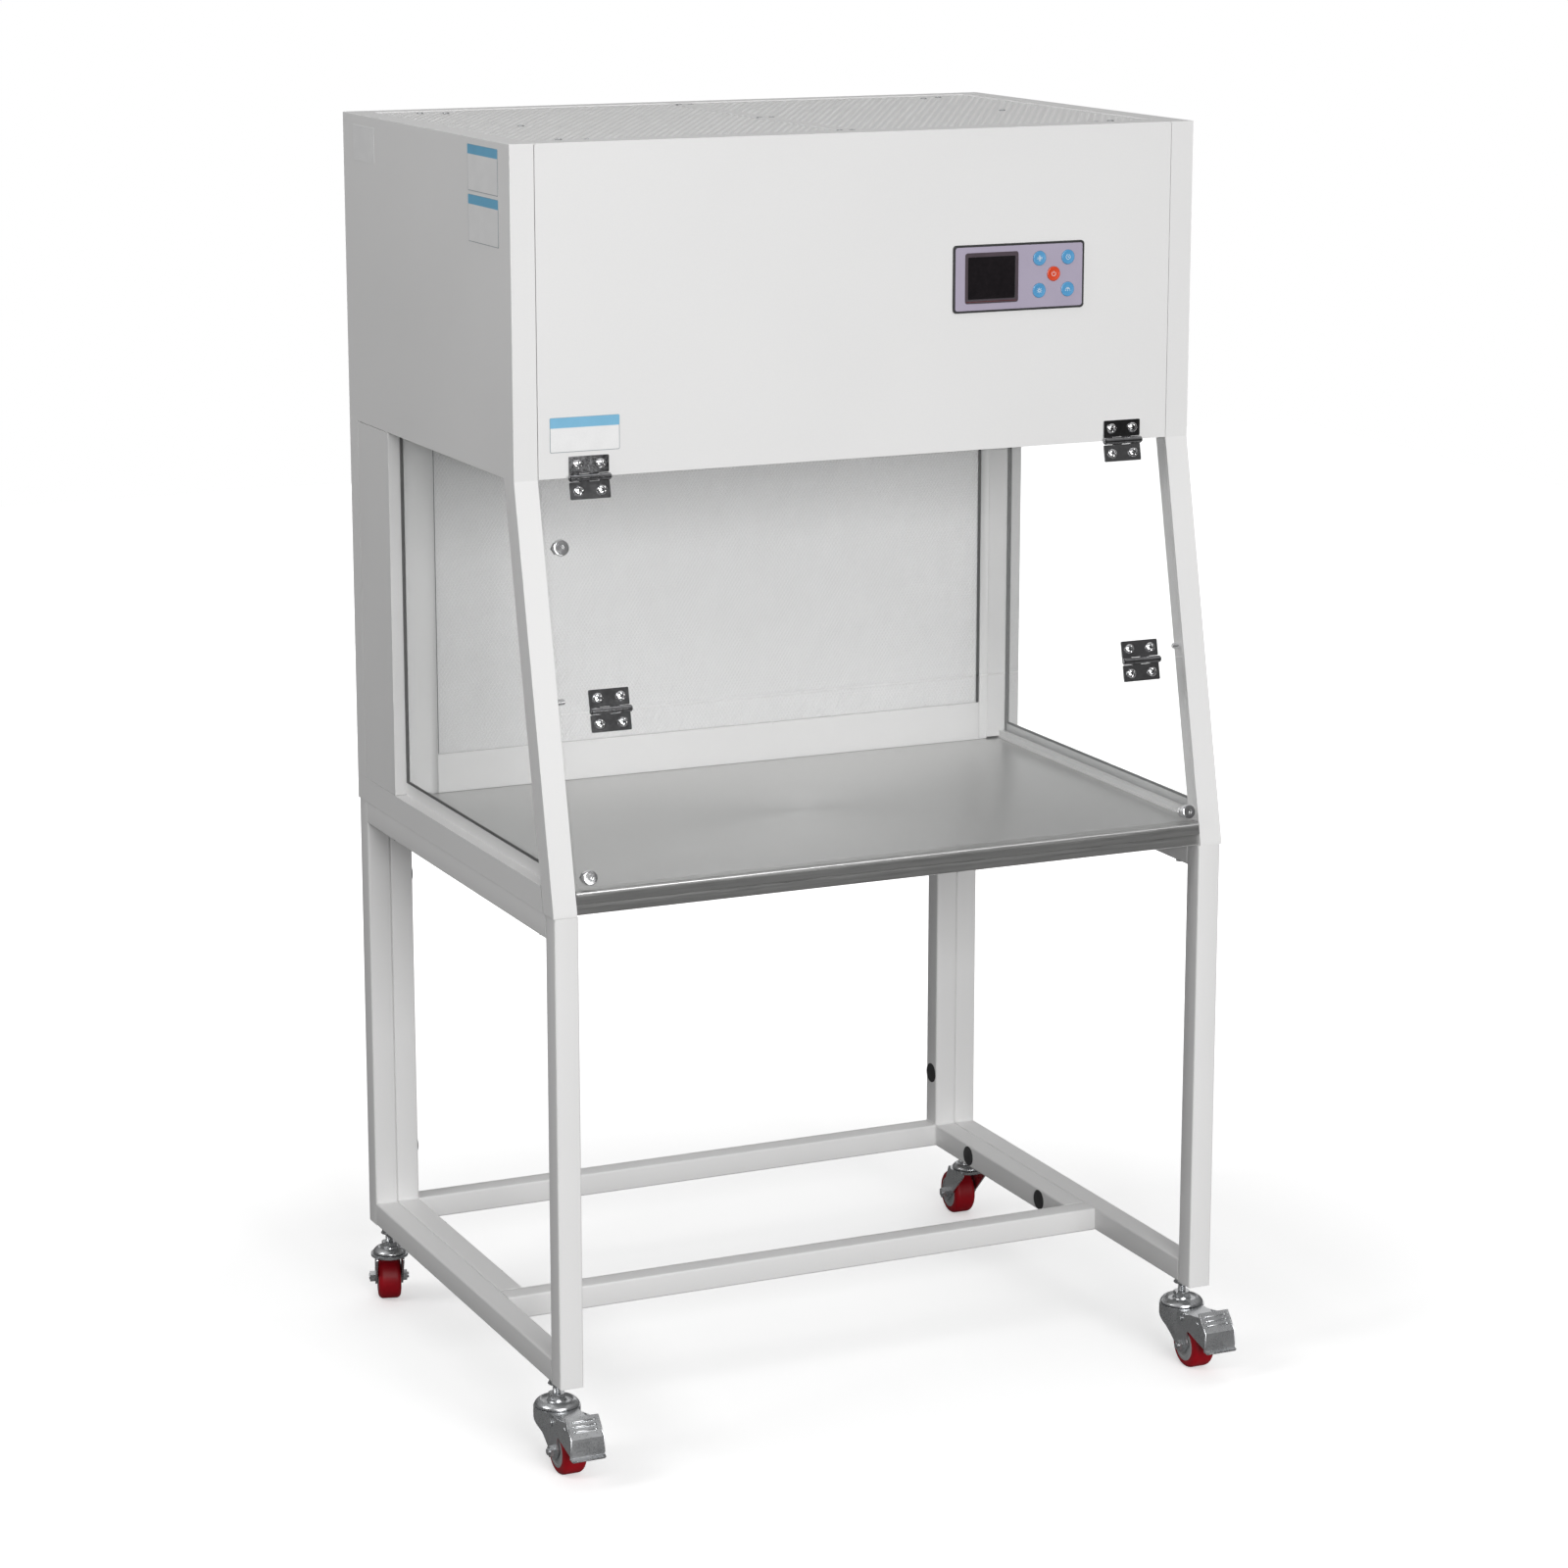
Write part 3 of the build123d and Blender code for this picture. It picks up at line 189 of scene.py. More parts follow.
pleats = surface("filter_paper", (0.86, 0.86, 0.84), (0.74, 0.74, 0.72), (0.85, 0.95), 0.0006, 0.00008,
                 patch=0.03)
strands = surface("diffuser_coat", grey(0.93), grey(0.84), (0.32, 0.45), 0.0015, 0.00004, patch=0.02)
fabric = surface("scrim_fabric", grey(0.82), grey(0.76), (0.8, 0.95), 0.0006, 0.00005, patch=0.03)
mat_fibre = surface("prefilter_fibre", (0.34, 0.34, 0.33), (0.14, 0.14, 0.14), (0.85, 0.95), 0.0016,
                    0.0006, patch=0.01)
cast = surface("motor_paint", (0.10, 0.10, 0.105), (0.05, 0.05, 0.055), (0.45, 0.6), 0.0015, 0.0001,
               patch=0.03)
lamp = surface("lamp_white", (0.88, 0.89, 0.88), (0.82, 0.83, 0.82), (0.2, 0.3), 0.002, 0.00001,
               patch=0.05)
tube_glass = clear("lamp_glass", (0.85, 0.9, 0.96), (0.35, 0.8), (0.04, 0.1))
pane_glass = clear("pane_acrylic", (0.93, 0.95, 0.95), (0.035, 0.14), (0.03, 0.07))
window_glass = clear("window_glass", (0.90, 0.93, 0.93), (0.05, 0.22), (0.03, 0.06))
# A pale, half-solid tint on the panes' cut edges: partly the edge's own tint, partly a painted highlight
# for the bright line along them
pane_edge_highlight = clear("pane_edge_highlight", (0.90, 0.93, 0.93), (0.5, 0.62), (0.15, 0.3), grain=0.002)
overlay = surface("overlay_lilac", (0.46, 0.41, 0.52), (0.38, 0.34, 0.44), (0.35, 0.45), 0.0006,
                  0.00002, patch=0.09)
surround = surface("screen_surround", (0.075, 0.052, 0.066), (0.045, 0.032, 0.042), (0.3, 0.4), 0.0008,
                   0.00002, patch=0.03)
screen = surface("screen_glass", (0.014, 0.011, 0.013), (0.007, 0.006, 0.007), (0.1, 0.16), 0.004,
                 0.000005, patch=0.03, coat_weight=0.6, coat_roughness=0.05)
screen_red = surface("screen_line", (0.16, 0.03, 0.03), (0.10, 0.02, 0.02), (0.2, 0.3), 0.001, 0.00001,
                     patch=0.01)
blue = surface("key_blue", (0.115, 0.375, 0.66), (0.085, 0.31, 0.58), (0.2, 0.3), 0.001, 0.00001,
               patch=0.01, coat_weight=0.4, coat_roughness=0.12)
orange = surface("key_red", (0.78, 0.085, 0.03), (0.66, 0.06, 0.02), (0.2, 0.3), 0.001, 0.00001,
                 patch=0.01, coat_weight=0.4, coat_roughness=0.12)
print_white = surface("print_white", (0.88, 0.88, 0.88), (0.80, 0.80, 0.80), (0.35, 0.45), 0.0008,
                      0.00001, patch=0.02)
print_grey = surface("print_grey", (0.34, 0.37, 0.40), (0.30, 0.33, 0.36), (0.35, 0.45), 0.0008,
                     0.00001, patch=0.02)
print_blue = surface("print_blue", (0.20, 0.50, 0.72), (0.17, 0.45, 0.66), (0.35, 0.45), 0.0008,
                     0.00001, patch=0.02)
board = surface("solder_mask", (0.02, 0.16, 0.06), (0.01, 0.10, 0.04), (0.3, 0.4), 0.002, 0.00003,
                patch=0.01)


# ---------------------------------------------------------------- shapes

def loft(rings):
    """Faces between rings of the same count, with a flat face at each end."""
    count = len(rings[0])
    last = (len(rings) - 1) * count
    verts = [v for ring in rings for v in ring]
    faces = []
    for low in range(0, last, count):
        high = low + count
        for i in range(count):
            j = (i + 1) % count
            faces.append((low + i, low + j, high + j, high + i))
    faces.append(tuple(reversed(range(count))))
    faces.append(tuple(range(last, last + count)))
    return verts, faces


def rounded(width, height, radius, steps=4):
    """A rounded rectangle about the origin, anticlockwise."""
    points = []
    for quarter, (sx, sy) in enumerate(((1, 1), (-1, 1), (-1, -1), (1, -1))):
        for k in range(steps + 1):
            angle = math.radians(90) * (quarter + k / steps)
            points.append((sx * (width / 2 - radius) + radius * math.cos(angle),
                           sy * (height / 2 - radius) + radius * math.sin(angle)))
    return points


def lifted(points, height):
    return [(x, y, height) for x, y in points]


def bar(lo, hi, axis, radius, nick=0.25 * mm):
    """A square tube between two corners, round along its edges and crisp at its ends."""
    u, v = (axis + 1) % 3, (axis + 2) % 3
    rings = []
    for end, inset in ((lo[axis], nick), (lo[axis] + nick, 0), (hi[axis] - nick, 0), (hi[axis], nick)):
        ring = []
        outline = rounded(hi[u] - lo[u] - 2 * inset, hi[v] - lo[v] - 2 * inset, radius - inset)
        for a, b in outline:
            point = [0, 0, 0]
            point[axis] = end
            point[u] = (lo[u] + hi[u]) / 2 + a
            point[v] = (lo[v] + hi[v]) / 2 + b
            ring.append(point)
        rings.append(ring)
    return loft(rings)


def plate(width, height, thickness, radius=1 * mm, round_over=0.3 * mm, steps=4):
    """A flat plate with rounded corners and eased edges, lying on the XY plane."""
    ease = round_over
    inner = rounded(width - 2 * ease, height - 2 * ease, max(radius - ease, 0.05 * mm), steps)
    outer = rounded(width, height, radius, steps)
    return loft([lifted(inner, 0), lifted(outer, min(ease, thickness / 3)),
                 lifted(outer, thickness - min(ease, thickness / 3)), lifted(inner, thickness)])


def lathe(profile, steps=40):
    """A solid of revolution about +Z from (radius, height) pairs in millimetres, bottom to top."""
    spokes = [(math.cos(math.tau * k / steps), math.sin(math.tau * k / steps)) for k in range(steps)]
    return loft([[(radius * mm * x, radius * mm * y, height * mm) for x, y in spokes]
                 for radius, height in profile])


def hex_radius(angle, corner):
    """Distance from the middle to a hexagon's side at an angle."""
    flat = corner * math.cos(math.pi / 6)
    return flat / math.cos((angle % (math.pi / 3)) - math.pi / 6)


def nut(corner, height):
    """A hexagon with its corners turned off at both ends, as on a nut."""
    steps = 48
    turned = corner * 0.9
    rise = height * 0.16
    rings = []
    for level, cut in ((0, True), (rise, False), (height - rise, False), (height, True)):
        ring = []
        for k in range(steps):
            angle = math.tau * k / steps
            radius = hex_radius(angle, corner)
            if cut:
                radius = min(radius, turned)
            ring.append((radius * math.cos(angle), radius * math.sin(angle), level))
        rings.append(ring)
    return loft(rings)


def cross_head(radius, height):
    """A domed screw head with a cross recess."""
    steps, rows = 48, 12
    arm, reach, sink = radius * 0.13, radius * 0.55, height * 0.55
    rings = [[(radius * math.cos(math.tau * k / steps), radius * math.sin(math.tau * k / steps), 0)
              for k in range(steps)]]
    for row in range(rows):
        share = 1 - row / (rows - 1) * 0.98
        ring = []
        for k in range(steps):
            angle = math.tau * k / steps
            x, y = radius * share * math.cos(angle), radius * share * math.sin(angle)
            dome = height * math.sqrt(max(0.0, 1 - share ** 2.6))
            near = min(max(abs(x) - arm, abs(y) - reach), max(abs(y) - arm, abs(x) - reach))
            near = max(near, -arm)
            dip = sink * min(1.0, max(0.0, -near / arm * 1.6 + 0.2))
            ring.append((x, y, 0.08 * height + dome * 0.92 - dip))
        rings.append(ring)
    return loft(rings)


def facing(point, direction, turn=0.0):
    """A placement that carries +Z at the origin to a direction at a point."""
    spin = Vector(direction).to_track_quat("Z", "Y").to_matrix().to_4x4()
    return Matrix.Translation(point) @ spin @ Matrix.Rotation(turn, 4, "Z")


def stroke(points, radius, sides=8, flat=1.0):
    """A bead that follows a line of points. radius is one value or a list with one for each point."""
    line = [Vector(p) for p in points]
    rings = []
    for i, point in enumerate(line):
        before = line[max(i - 1, 0)]
        after = line[min(i + 1, len(line) - 1)]
        along = (after - before).normalized()
        up = axis_z if abs(along.z) < 0.9 else axis_x
        side = along.cross(up).normalized()
        up = side.cross(along)
        thick = radius[i] if isinstance(radius, list) else radius
        rings.append([point + side * (thick * math.cos(math.tau * k / sides))
                      + up * (thick * flat * math.sin(math.tau * k / sides)) for k in range(sides)])
    return loft([list(reversed(ring)) for ring in rings])


class Shape:
    """Closed forms gathered into one piece."""

    def __init__(self):
        self.verts = []
        self.faces = []
        self.paint = []

    def put(self, form, place=None, paint=0):
        """Add a form at a placement, with the number of the material it takes."""
        verts, faces = form
        start = len(self.verts)
        move = place or Matrix.Identity(4)
        flip = move.determinant() < 0
        self.verts += [move @ Vector(v) for v in verts]
        for face in faces:
            face = tuple(start + i for i in face)
            self.faces.append(tuple(reversed(face)) if flip else face)
        self.paint += [paint] * len(faces)
        return self

    def piece(self, name, body, materials, slot, stands_for=(), crease=32):
        """Make the piece, smooth but for edges sharper than crease degrees."""
        mesh = bpy.data.meshes.new(name)
        mesh.from_pydata(self.verts, [], self.faces)
        for material in materials:
            mesh.materials.append(material)
        mesh.polygons.foreach_set("material_index", self.paint)
        mesh.shade_smooth()
        mesh.set_sharp_from_angle(angle=math.radians(crease))
        made = bpy.data.objects.new(name, mesh)
        scene.collection.objects.link(made)
        return settle(made, body, stands_for)


def settle(made, body, stands_for=()):
    """Give a piece its body and the CAD nodes it stands for."""
    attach(made, body)
    if stands_for:
        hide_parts(*stands_for)
    return made


def refined(node, material, width, segments=3, unbroken=None, paint=None):
    """A CAD node with its folds and edges rounded, no edge by more than its faces allow.

    unbroken says which edges stay sharp, such as where two pieces run on as one surface, and paint
    gives a face the second material of two.
    """
    mesh = nodes[node].data.copy()
    for attribute in ("custom_normal", "sharp_edge", "sharp_face"):
        if attribute in mesh.attributes:
            mesh.attributes.remove(mesh.attributes[attribute])
    form = bmesh.new()
    form.from_mesh(mesh)
    bmesh.ops.remove_doubles(form, verts=form.verts, dist=0.002 * mm)
    bmesh.ops.dissolve_limit(form, angle_limit=math.radians(0.6), verts=form.verts, edges=form.edges)
    weights = form.edges.layers.float.new("bevel_weight_edge")
    for edge in form.edges:
        if len(edge.link_faces) != 2:
            edge.smooth = False
            continue
        if edge.calc_face_angle(0) < math.radians(28):
            continue
        if unbroken and unbroken(edge):
            edge.smooth = False
            continue
        room = min(face.calc_area() for face in edge.link_faces) / max(edge.calc_length(), 1e-6)
        edge[weights] = min(1.0, 0.42 * room / width)
    for face in form.faces:
        face.smooth = True
        face.material_index = 1 if paint and paint(face) else 0
    form.to_mesh(mesh)
    form.free()
    mesh.materials.clear()
    for one in material if isinstance(material, (list, tuple)) else [material]:
        mesh.materials.append(one)
    made = bpy.data.objects.new(node + "_finish", mesh)
    scene.collection.objects.link(made)
    rounding = made.modifiers.new("rounding", "BEVEL")
    rounding.limit_method = "WEIGHT"
    rounding.width = width
    rounding.segments = segments
    rounding.harden_normals = True
    rounding.use_clamp_overlap = True
    return settle(made, nodes[node]["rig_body"], [node])


def paint_node(node, material):
    """Give a CAD node that is shown as it is its material."""
    mesh = nodes[node].data
    mesh.materials.clear()
    mesh.materials.append(material)


# ---------------------------------------------------------------- camera, floor and light

camera_data = bpy.data.cameras.new("camera")
camera_data.sensor_width = 36.0
camera_data.lens = 97.03
camera = bpy.data.objects.new("camera", camera_data)
camera.location = (-2.1660, -4.7407, 1.9420)
camera_pitch, camera_yaw = 76.983, -24.555
camera.rotation_euler = (math.radians(camera_pitch), 0.0, math.radians(camera_yaw))
scene.collection.objects.link(camera)
scene.camera = camera
scene.view_settings.view_transform = "Standard"
scene.view_settings.look = "None"

# The floor glows more the further it is from the object, so that it runs on into the backdrop
floor_mesh = bpy.data.meshes.new("floor")
floor_mesh.from_pydata([(-5, -2.0, 0), (5, -2.0, 0), (5, 7, 0), (-5, 7, 0)], [], [(0, 1, 2, 3)])
floor = bpy.data.objects.new("floor", floor_mesh)
scene.collection.objects.link(floor)
floor_paint = bpy.data.materials.new("floor")
floor_paint.use_nodes = True
floor_tree = floor_paint.node_tree
floor_shader = floor_tree.nodes["Principled BSDF"]
floor_shader.inputs["Roughness"].default_value = 1.0
floor_shader.inputs["Specular IOR Level"].default_value = 0.0
floor_shader.inputs["Emission Color"].default_value = (1, 1, 1, 1)
floor_seen = add(floor_tree, "ShaderNodeLightPath").outputs["Is Camera Ray"]
floor_tone = add(floor_tree, "ShaderNodeMapRange", {"Value": floor_seen, "To Min": 0.26, "To Max": 0.92})
floor_tree.links.new(floor_tone.outputs["Result"], floor_shader.inputs["Base Color"])
floor_at = add(floor_tree, "ShaderNodeTexCoord").outputs["Object"]
floor_far = add(floor_tree, "ShaderNodeVectorMath", {0: floor_at}, operation="LENGTH").outputs["Value"]
floor_glow = add(floor_tree, "ShaderNodeMapRange", {"Value": floor_far, "From Min": 0.8, "From Max": 2.2,
                                                    "To Min": 0.42, "To Max": 1.0})
floor_lit = add(floor_tree, "ShaderNodeMath", {0: floor_seen, 1: floor_glow.outputs["Result"]},
                operation="MULTIPLY")
floor_tree.links.new(floor_lit.outputs[0], floor_shader.inputs["Emission Strength"])
floor_mesh.materials.append(floor_paint)

world = bpy.data.worlds.new("studio")
scene.world = world
world.use_nodes = True
sky = world.node_tree
sky.nodes.clear()
seen = add(sky, "ShaderNodeLightPath").outputs["Is Camera Ray"]
look = add(sky, "ShaderNodeTexCoord").outputs["Generated"]
height = add(sky, "ShaderNodeSeparateXYZ", {"Vector": look}).outputs["Z"]
tone = add(sky, "ShaderNodeMapRange", {"Value": height, "From Min": -0.05, "From Max": 0.9,
                                       "To Min": 0.05, "To Max": 0.55})
soft = add(sky, "ShaderNodeBackground", {"Strength": tone.outputs["Result"]})
plain = add(sky, "ShaderNodeBackground", {"Color": (1, 1, 1, 1), "Strength": 1.0})
mixed = add(sky, "ShaderNodeMixShader", {0: seen, 1: soft.outputs[0], 2: plain.outputs[0]})
add(sky, "ShaderNodeOutputWorld", {"Surface": mixed.outputs[0]})


def softbox(name, place, aim, size, power, spread=180):
    """A large soft lamp. spread is the angle of its cone in degrees."""
    data = bpy.data.lights.new(name, "AREA")
    data.shape = "RECTANGLE"
    data.size, data.size_y = size
    data.energy = power
    data.spread = math.radians(spread)
    made = bpy.data.objects.new(name, data)
    made.location = place
    made.rotation_euler = (Vector(aim) - Vector(place)).to_track_quat("-Z", "Y").to_euler()
    scene.collection.objects.link(made)


softbox("key", (-0.4, -6.0, 2.3), (0, 0, 0.9), (3.2, 2.2), 228)
softbox("front_low", (0.3, -5.4, 0.9), (0, 0, 1.2), (2.6, 1.0), 34)
softbox("overhead", (0.2, 0.4, 4.6), (0, 0, 0), (3.4, 3.0), 12)
softbox("back_card", (2.6, 4.6, 1.7), (0, 0, 0.9), (3.0, 2.4), 14)
softbox("left_fill", (-3.8, -0.3, 3.2), (0, 0, 1.5), (2.0, 1.8), 13.4, spread=80)


# ---------------------------------------------------------------- stand

edge_radius = 2.6 * mm
legs = Shape()
legs_left = Shape()
for shape, side in ((legs, 1), (legs_left, -1)):
    x_lo, x_hi = sorted((side * frame_lo.x, side * frame_hi.x))
    for y in (front_y, rear_y - tube):
        shape.put(bar((x_lo, y, frame_lo.z), (x_hi, y + tube, frame_hi.z), 2, edge_radius))
    for z in (frame_lo.z, frame_hi.z - tube):
        shape.put(bar((x_lo, front_y + tube, z), (x_hi, rear_y - tube, z + tube), 1, edge_radius))
legs.piece("stand_side_frame_right_tubes", root, [white], "white_coat", ["stand_side_frame_right"])
legs_left.piece("stand_side_frame_left_tubes", root, [white], "white_coat", ["stand_side_frame_left"])

inner = Shape()
bar_y = inner_lo.y
for y in (bar_y, rear_y - tube):
    inner.put(bar((-post_x, y, base_z), (post_x, y + tube, base_z + tube), 0, edge_radius))
for side in (1, -1):
    x_lo, x_hi = sorted((side * (post_x - tube), side * post_x))
    inner.put(bar((x_lo, bar_y + tube, base_z), (x_hi, rear_y - tube, base_z + tube), 1, edge_radius))
    inner.put(bar((x_lo, rear_y - tube, base_z + tube), (x_hi, rear_y, frame_hi.z), 2, edge_radius))
inner.put(bar((tube - post_x, rear_y - tube, frame_hi.z - tube),
              (post_x - tube, rear_y, frame_hi.z), 0, edge_radius))
inner.piece("stand_inner_frame_tubes", root, [white], "white_coat", ["stand_inner_frame"])

# Painted weld beads where tubes meet
rng = random.Random(5)
beads = Shape()


def bead(start, end, radius=1.3 * mm):
    """A weld bead whose width wanders a little."""
    start, end = Vector(start), Vector(end)
    ripple = 1.6 * mm
    count = max(6, int((end - start).length / ripple))
    points = [start.lerp(end, k / count) for k in range(count + 1)]
    beads.put(stroke(points, [radius * rng.uniform(0.82, 1.12) for _ in points]))


inset = edge_radius
for side in (1, -1):
    x_lo, x_hi = sorted((side * frame_lo.x, side * frame_hi.x))
    for y in (front_y + tube, rear_y - tube):
        for z in (base_z + tube, frame_hi.z - tube):
            bead((x_lo + inset, y, z), (x_hi - inset, y, z))
    x_lo, x_hi = sorted((side * (post_x - tube), side * post_x))
    for y in (bar_y + tube, rear_y - tube):
        x = side * (post_x - tube)
        bead((x, y, base_z + inset), (x, y, base_z + tube - inset))
    bead((x_lo + inset, rear_y - tube, base_z + tube), (x_hi - inset, rear_y - tube, base_z + tube))
    x = side * (post_x - tube)
    bead((x, rear_y - tube + inset, base_z + tube), (x, rear_y - inset, base_z + tube))
    bead((x, rear_y - tube + inset, frame_hi.z - tube), (x, rear_y - inset, frame_hi.z - tube))
beads.piece("stand_weld_beads", root, [white], "white_coat", crease=60)

# Hole plugs: a domed cap with a shallow rim
plug_r = 13.4
plug_spots = [(rear_y - tube / 2, 212.8 * mm), (rear_y - tube / 2, 584.0 * mm),
              (front_y + 351.2 * mm, base_z + tube / 2), (front_y + 558.7 * mm, base_z + tube / 2)]
plug_form = lathe([(plug_r * 0.4, -5), (plug_r * 0.88, -5), (plug_r * 0.88, 0), (plug_r, 0),
                   (plug_r, 0.5), (plug_r * 0.96, 1.0), (plug_r * 0.88, 1.25), (plug_r * 0.8, 1.15),
                   (plug_r * 0.55, 1.4), (plug_r * 0.02, 1.55)])
plugs = Shape()
for side in (1, -1):
    for y, z in plug_spots:
        plugs.put(plug_form, facing((side * (post_x - tube), y, z), (-side, 0, 0)))
plugs.piece("bolt_hole_plugs_domed", root, [black], "black_plastic", ["bolt_hole_plugs"], crease=50)

# ---------------------------------------------------------------- casters

joint_at = {joint["name"]: joint for joint in frame["joints"]}
cap_radius = {"front_left": 27.0, "front_right": 27.0, "rear_left": 21.5, "rear_right": 21.5}
race_z, lock_nut_z, upper_nut_z = 66.0, 84.0, 102.6
thread_pitch, thread_turns = 1.5, 38


def joint_place(name):
    return Vector(joint_at[name]["pos_m"])


def raised(height):
    return Matrix.Translation((0, 0, height * mm))


stems = Shape()
for name, cap_r in cap_radius.items():
    swivel = joint_place(name + "_swivel_turn")
    at = Matrix.Translation((swivel.x, swivel.y, 0))
    cap = [(4, 75), (cap_r - 0.6, 75), (cap_r, 75.5), (cap_r, 77.4), (cap_r - 0.8, 78.6),
           (cap_r - 2.6, 80.6), (cap_r - 4.6, 82.0), (cap_r - 6.6, 82.6), (cap_r - 7.6, 82.2),
           (cap_r - 9.0, 80.6), (cap_r - 10.0, 80.2), (12.2, 80.4), (11.4, 81.4), (11.0, 83.6),
           (10.4, 84.0), (0.1, 84.0)]
    stems.put(lathe(cap, 64), at)
    thread = [(4.1, race_z)]
    for k in range(thread_turns):
        low = race_z + k * thread_pitch
        thread += [(4.3, low + 0.1), (4.95, low + 0.75)]
    thread.append((4.2, race_z + thread_turns * thread_pitch))
    stems.put(lathe(thread, 32), at)
    stems.put(lathe([(0.1, race_z), (8.4, race_z), (9, 66.6), (9, 70.4), (0.1, 70.4)]), at)
    stems.put(nut(11 * mm, 6 * mm), at @ raised(lock_nut_z) @ Matrix.Rotation(0.3, 4, "Z"))
    stems.put(nut(9.2 * mm, 7 * mm), at @ raised(upper_nut_z) @ Matrix.Rotation(0.7, 4, "Z"))
    stems.put(lathe([(5.2, 101.4), (10.4, 101.4), (10.7, 101.8), (10.7, 102.4), (10.3, 102.7),
                     (5.2, 102.7)]), at)
stems.piece("caster_stems_turned", root, [zinc], "zinc", ["caster_stems"], crease=38)

axle_washer = lathe([(4.3, 15.0), (8.6, 15.0), (8.6, 15.7), (7.9, 15.95), (5.4, 15.95), (4.3, 15.7)])
rim_ring = lathe([(16.4, 13.4), (20.8, 14.6), (20.8, 15.2), (20.2, 15.5), (17.1, 15.5),
                  (16.4, 15.0)], 64)
tread_ring = lathe([(21.0, 14.9), (21.8, 15.15), (22.6, 15.15), (23.4, 14.9), (23.4, 14.2),
                    (21.0, 14.2)], 72)
hub_rib = plate(7.4 * mm, 2.2 * mm, 8.4 * mm, radius=0.5 * mm, steps=2)
rib_place = Matrix.Translation((12.4 * mm, 0, 4.8 * mm))
rib_count = 6
for name in cap_radius:
    hub = joint_place(name + "_wheel_roll")
    axle = Vector(joint_at[name + "_wheel_roll"]["axis"])
    refined(f"caster_{name}_fork", zinc, 1.1 * mm)
    paint_node(f"caster_{name}_tyre", red)
    paint_node(f"caster_{name}_hub", nylon)
    details = Shape()
    rings = Shape()
    for side in (1, -1):
        at = facing(hub, axle * side)
        details.put(axle_washer, at)
        details.put(rim_ring, at, paint=2)
        for k in range(rib_count):
            spoke = at @ Matrix.Rotation(math.tau * k / rib_count, 4, "Z")
            details.put(hub_rib, spoke @ rib_place, paint=1)
        rings.put(tread_ring, at)
    details.piece(f"caster_{name}_hub_ribs", f"{name}_wheel", [zinc, nylon, nylon_rim], "grey_plastic")
    rings.piece(f"caster_{name}_tyre_rings", f"{name}_wheel", [red], "red_polyurethane")


def shoulder():
    """The pressed wall that runs from a fork's round skirt into its side plate.

    It is the wall on the +X side of a fork at the origin that points towards -Y.
    """
    skirt_radius, skirt_z, drop = 28.5, 61.0, 26.0
    plate_x, plate_front, sheet = 18.3, 21.8, 1.9
    first_turn, sweep = 49.8, 110
    rows, columns = 9, 14
    rings = []
    for row in range(rows + 1):
        share = row / rows
        z = skirt_z - drop * share
        ease = (1 - share) ** 2 * (1 + 2 * share)
        plate_rear = max(-17.0, (50.3 - z) * 1.5 - 16.3)
        outer, inner = [], []
        for k in range(columns + 1):
            turn = math.radians(first_turn - sweep * k / columns)
            out_x, out_y = math.cos(turn), math.sin(turn)
            flat_y = plate_front + (plate_rear - plate_front) * k / columns
            x = plate_x + (skirt_radius * out_x - plate_x) * ease
            y = flat_y + (skirt_radius * out_y - flat_y) * ease
            outer.append((x * mm, -y * mm, z * mm))
            inner.append(((x - sheet * (1 - ease) - sheet * ease * out_x) * mm,
                          -(y - sheet * ease * out_y) * mm, z * mm))
        rings.append(outer + inner[::-1])
    return loft(rings[::-1])


shoulder_form = shoulder()
braked = ("front_left", "front_right")
for name in braked:
    swivel = joint_place(name + "_swivel_turn")
    walls = Shape()
    for side in (1, -1):
        walls.put(shoulder_form,
                  Matrix.Translation((swivel.x, swivel.y, 0)) @ Matrix.Diagonal((side, 1, 1, 1)))
    walls.piece(f"caster_{name}_fork_shoulders", f"{name}_swivel", [zinc], "zinc", crease=40)

# Brake pedals: a pressed plate with ribs, side arms, a rolled foot and a coil spring
ramp_down, ramp_out = 0.791, 0.611
rib_end = lathe([(2.1, 0), (2.0, 0.7), (1.4, 1.5), (0.1, 1.9)], 20)
rivet = lathe([(3.4, 0), (3.4, 0.5), (2.6, 1.3), (0.1, 1.7)], 28)
flange_line = [(20.0, 80.3, 87.0), (20.4, 88.4, 76.6), (20.7, 96.6, 66.1), (21.3, 97.6, 46.0)]
coil_radius, coil_half, coil_turns, coil_steps = 4.3 * mm, 8 * mm, 6, 16


def at_pedal(centre, x, reach, z):
    """A point by its distance across, its distance forward of the swivel and its height."""
    return (centre.x + x * mm, centre.y - reach * mm, z * mm)


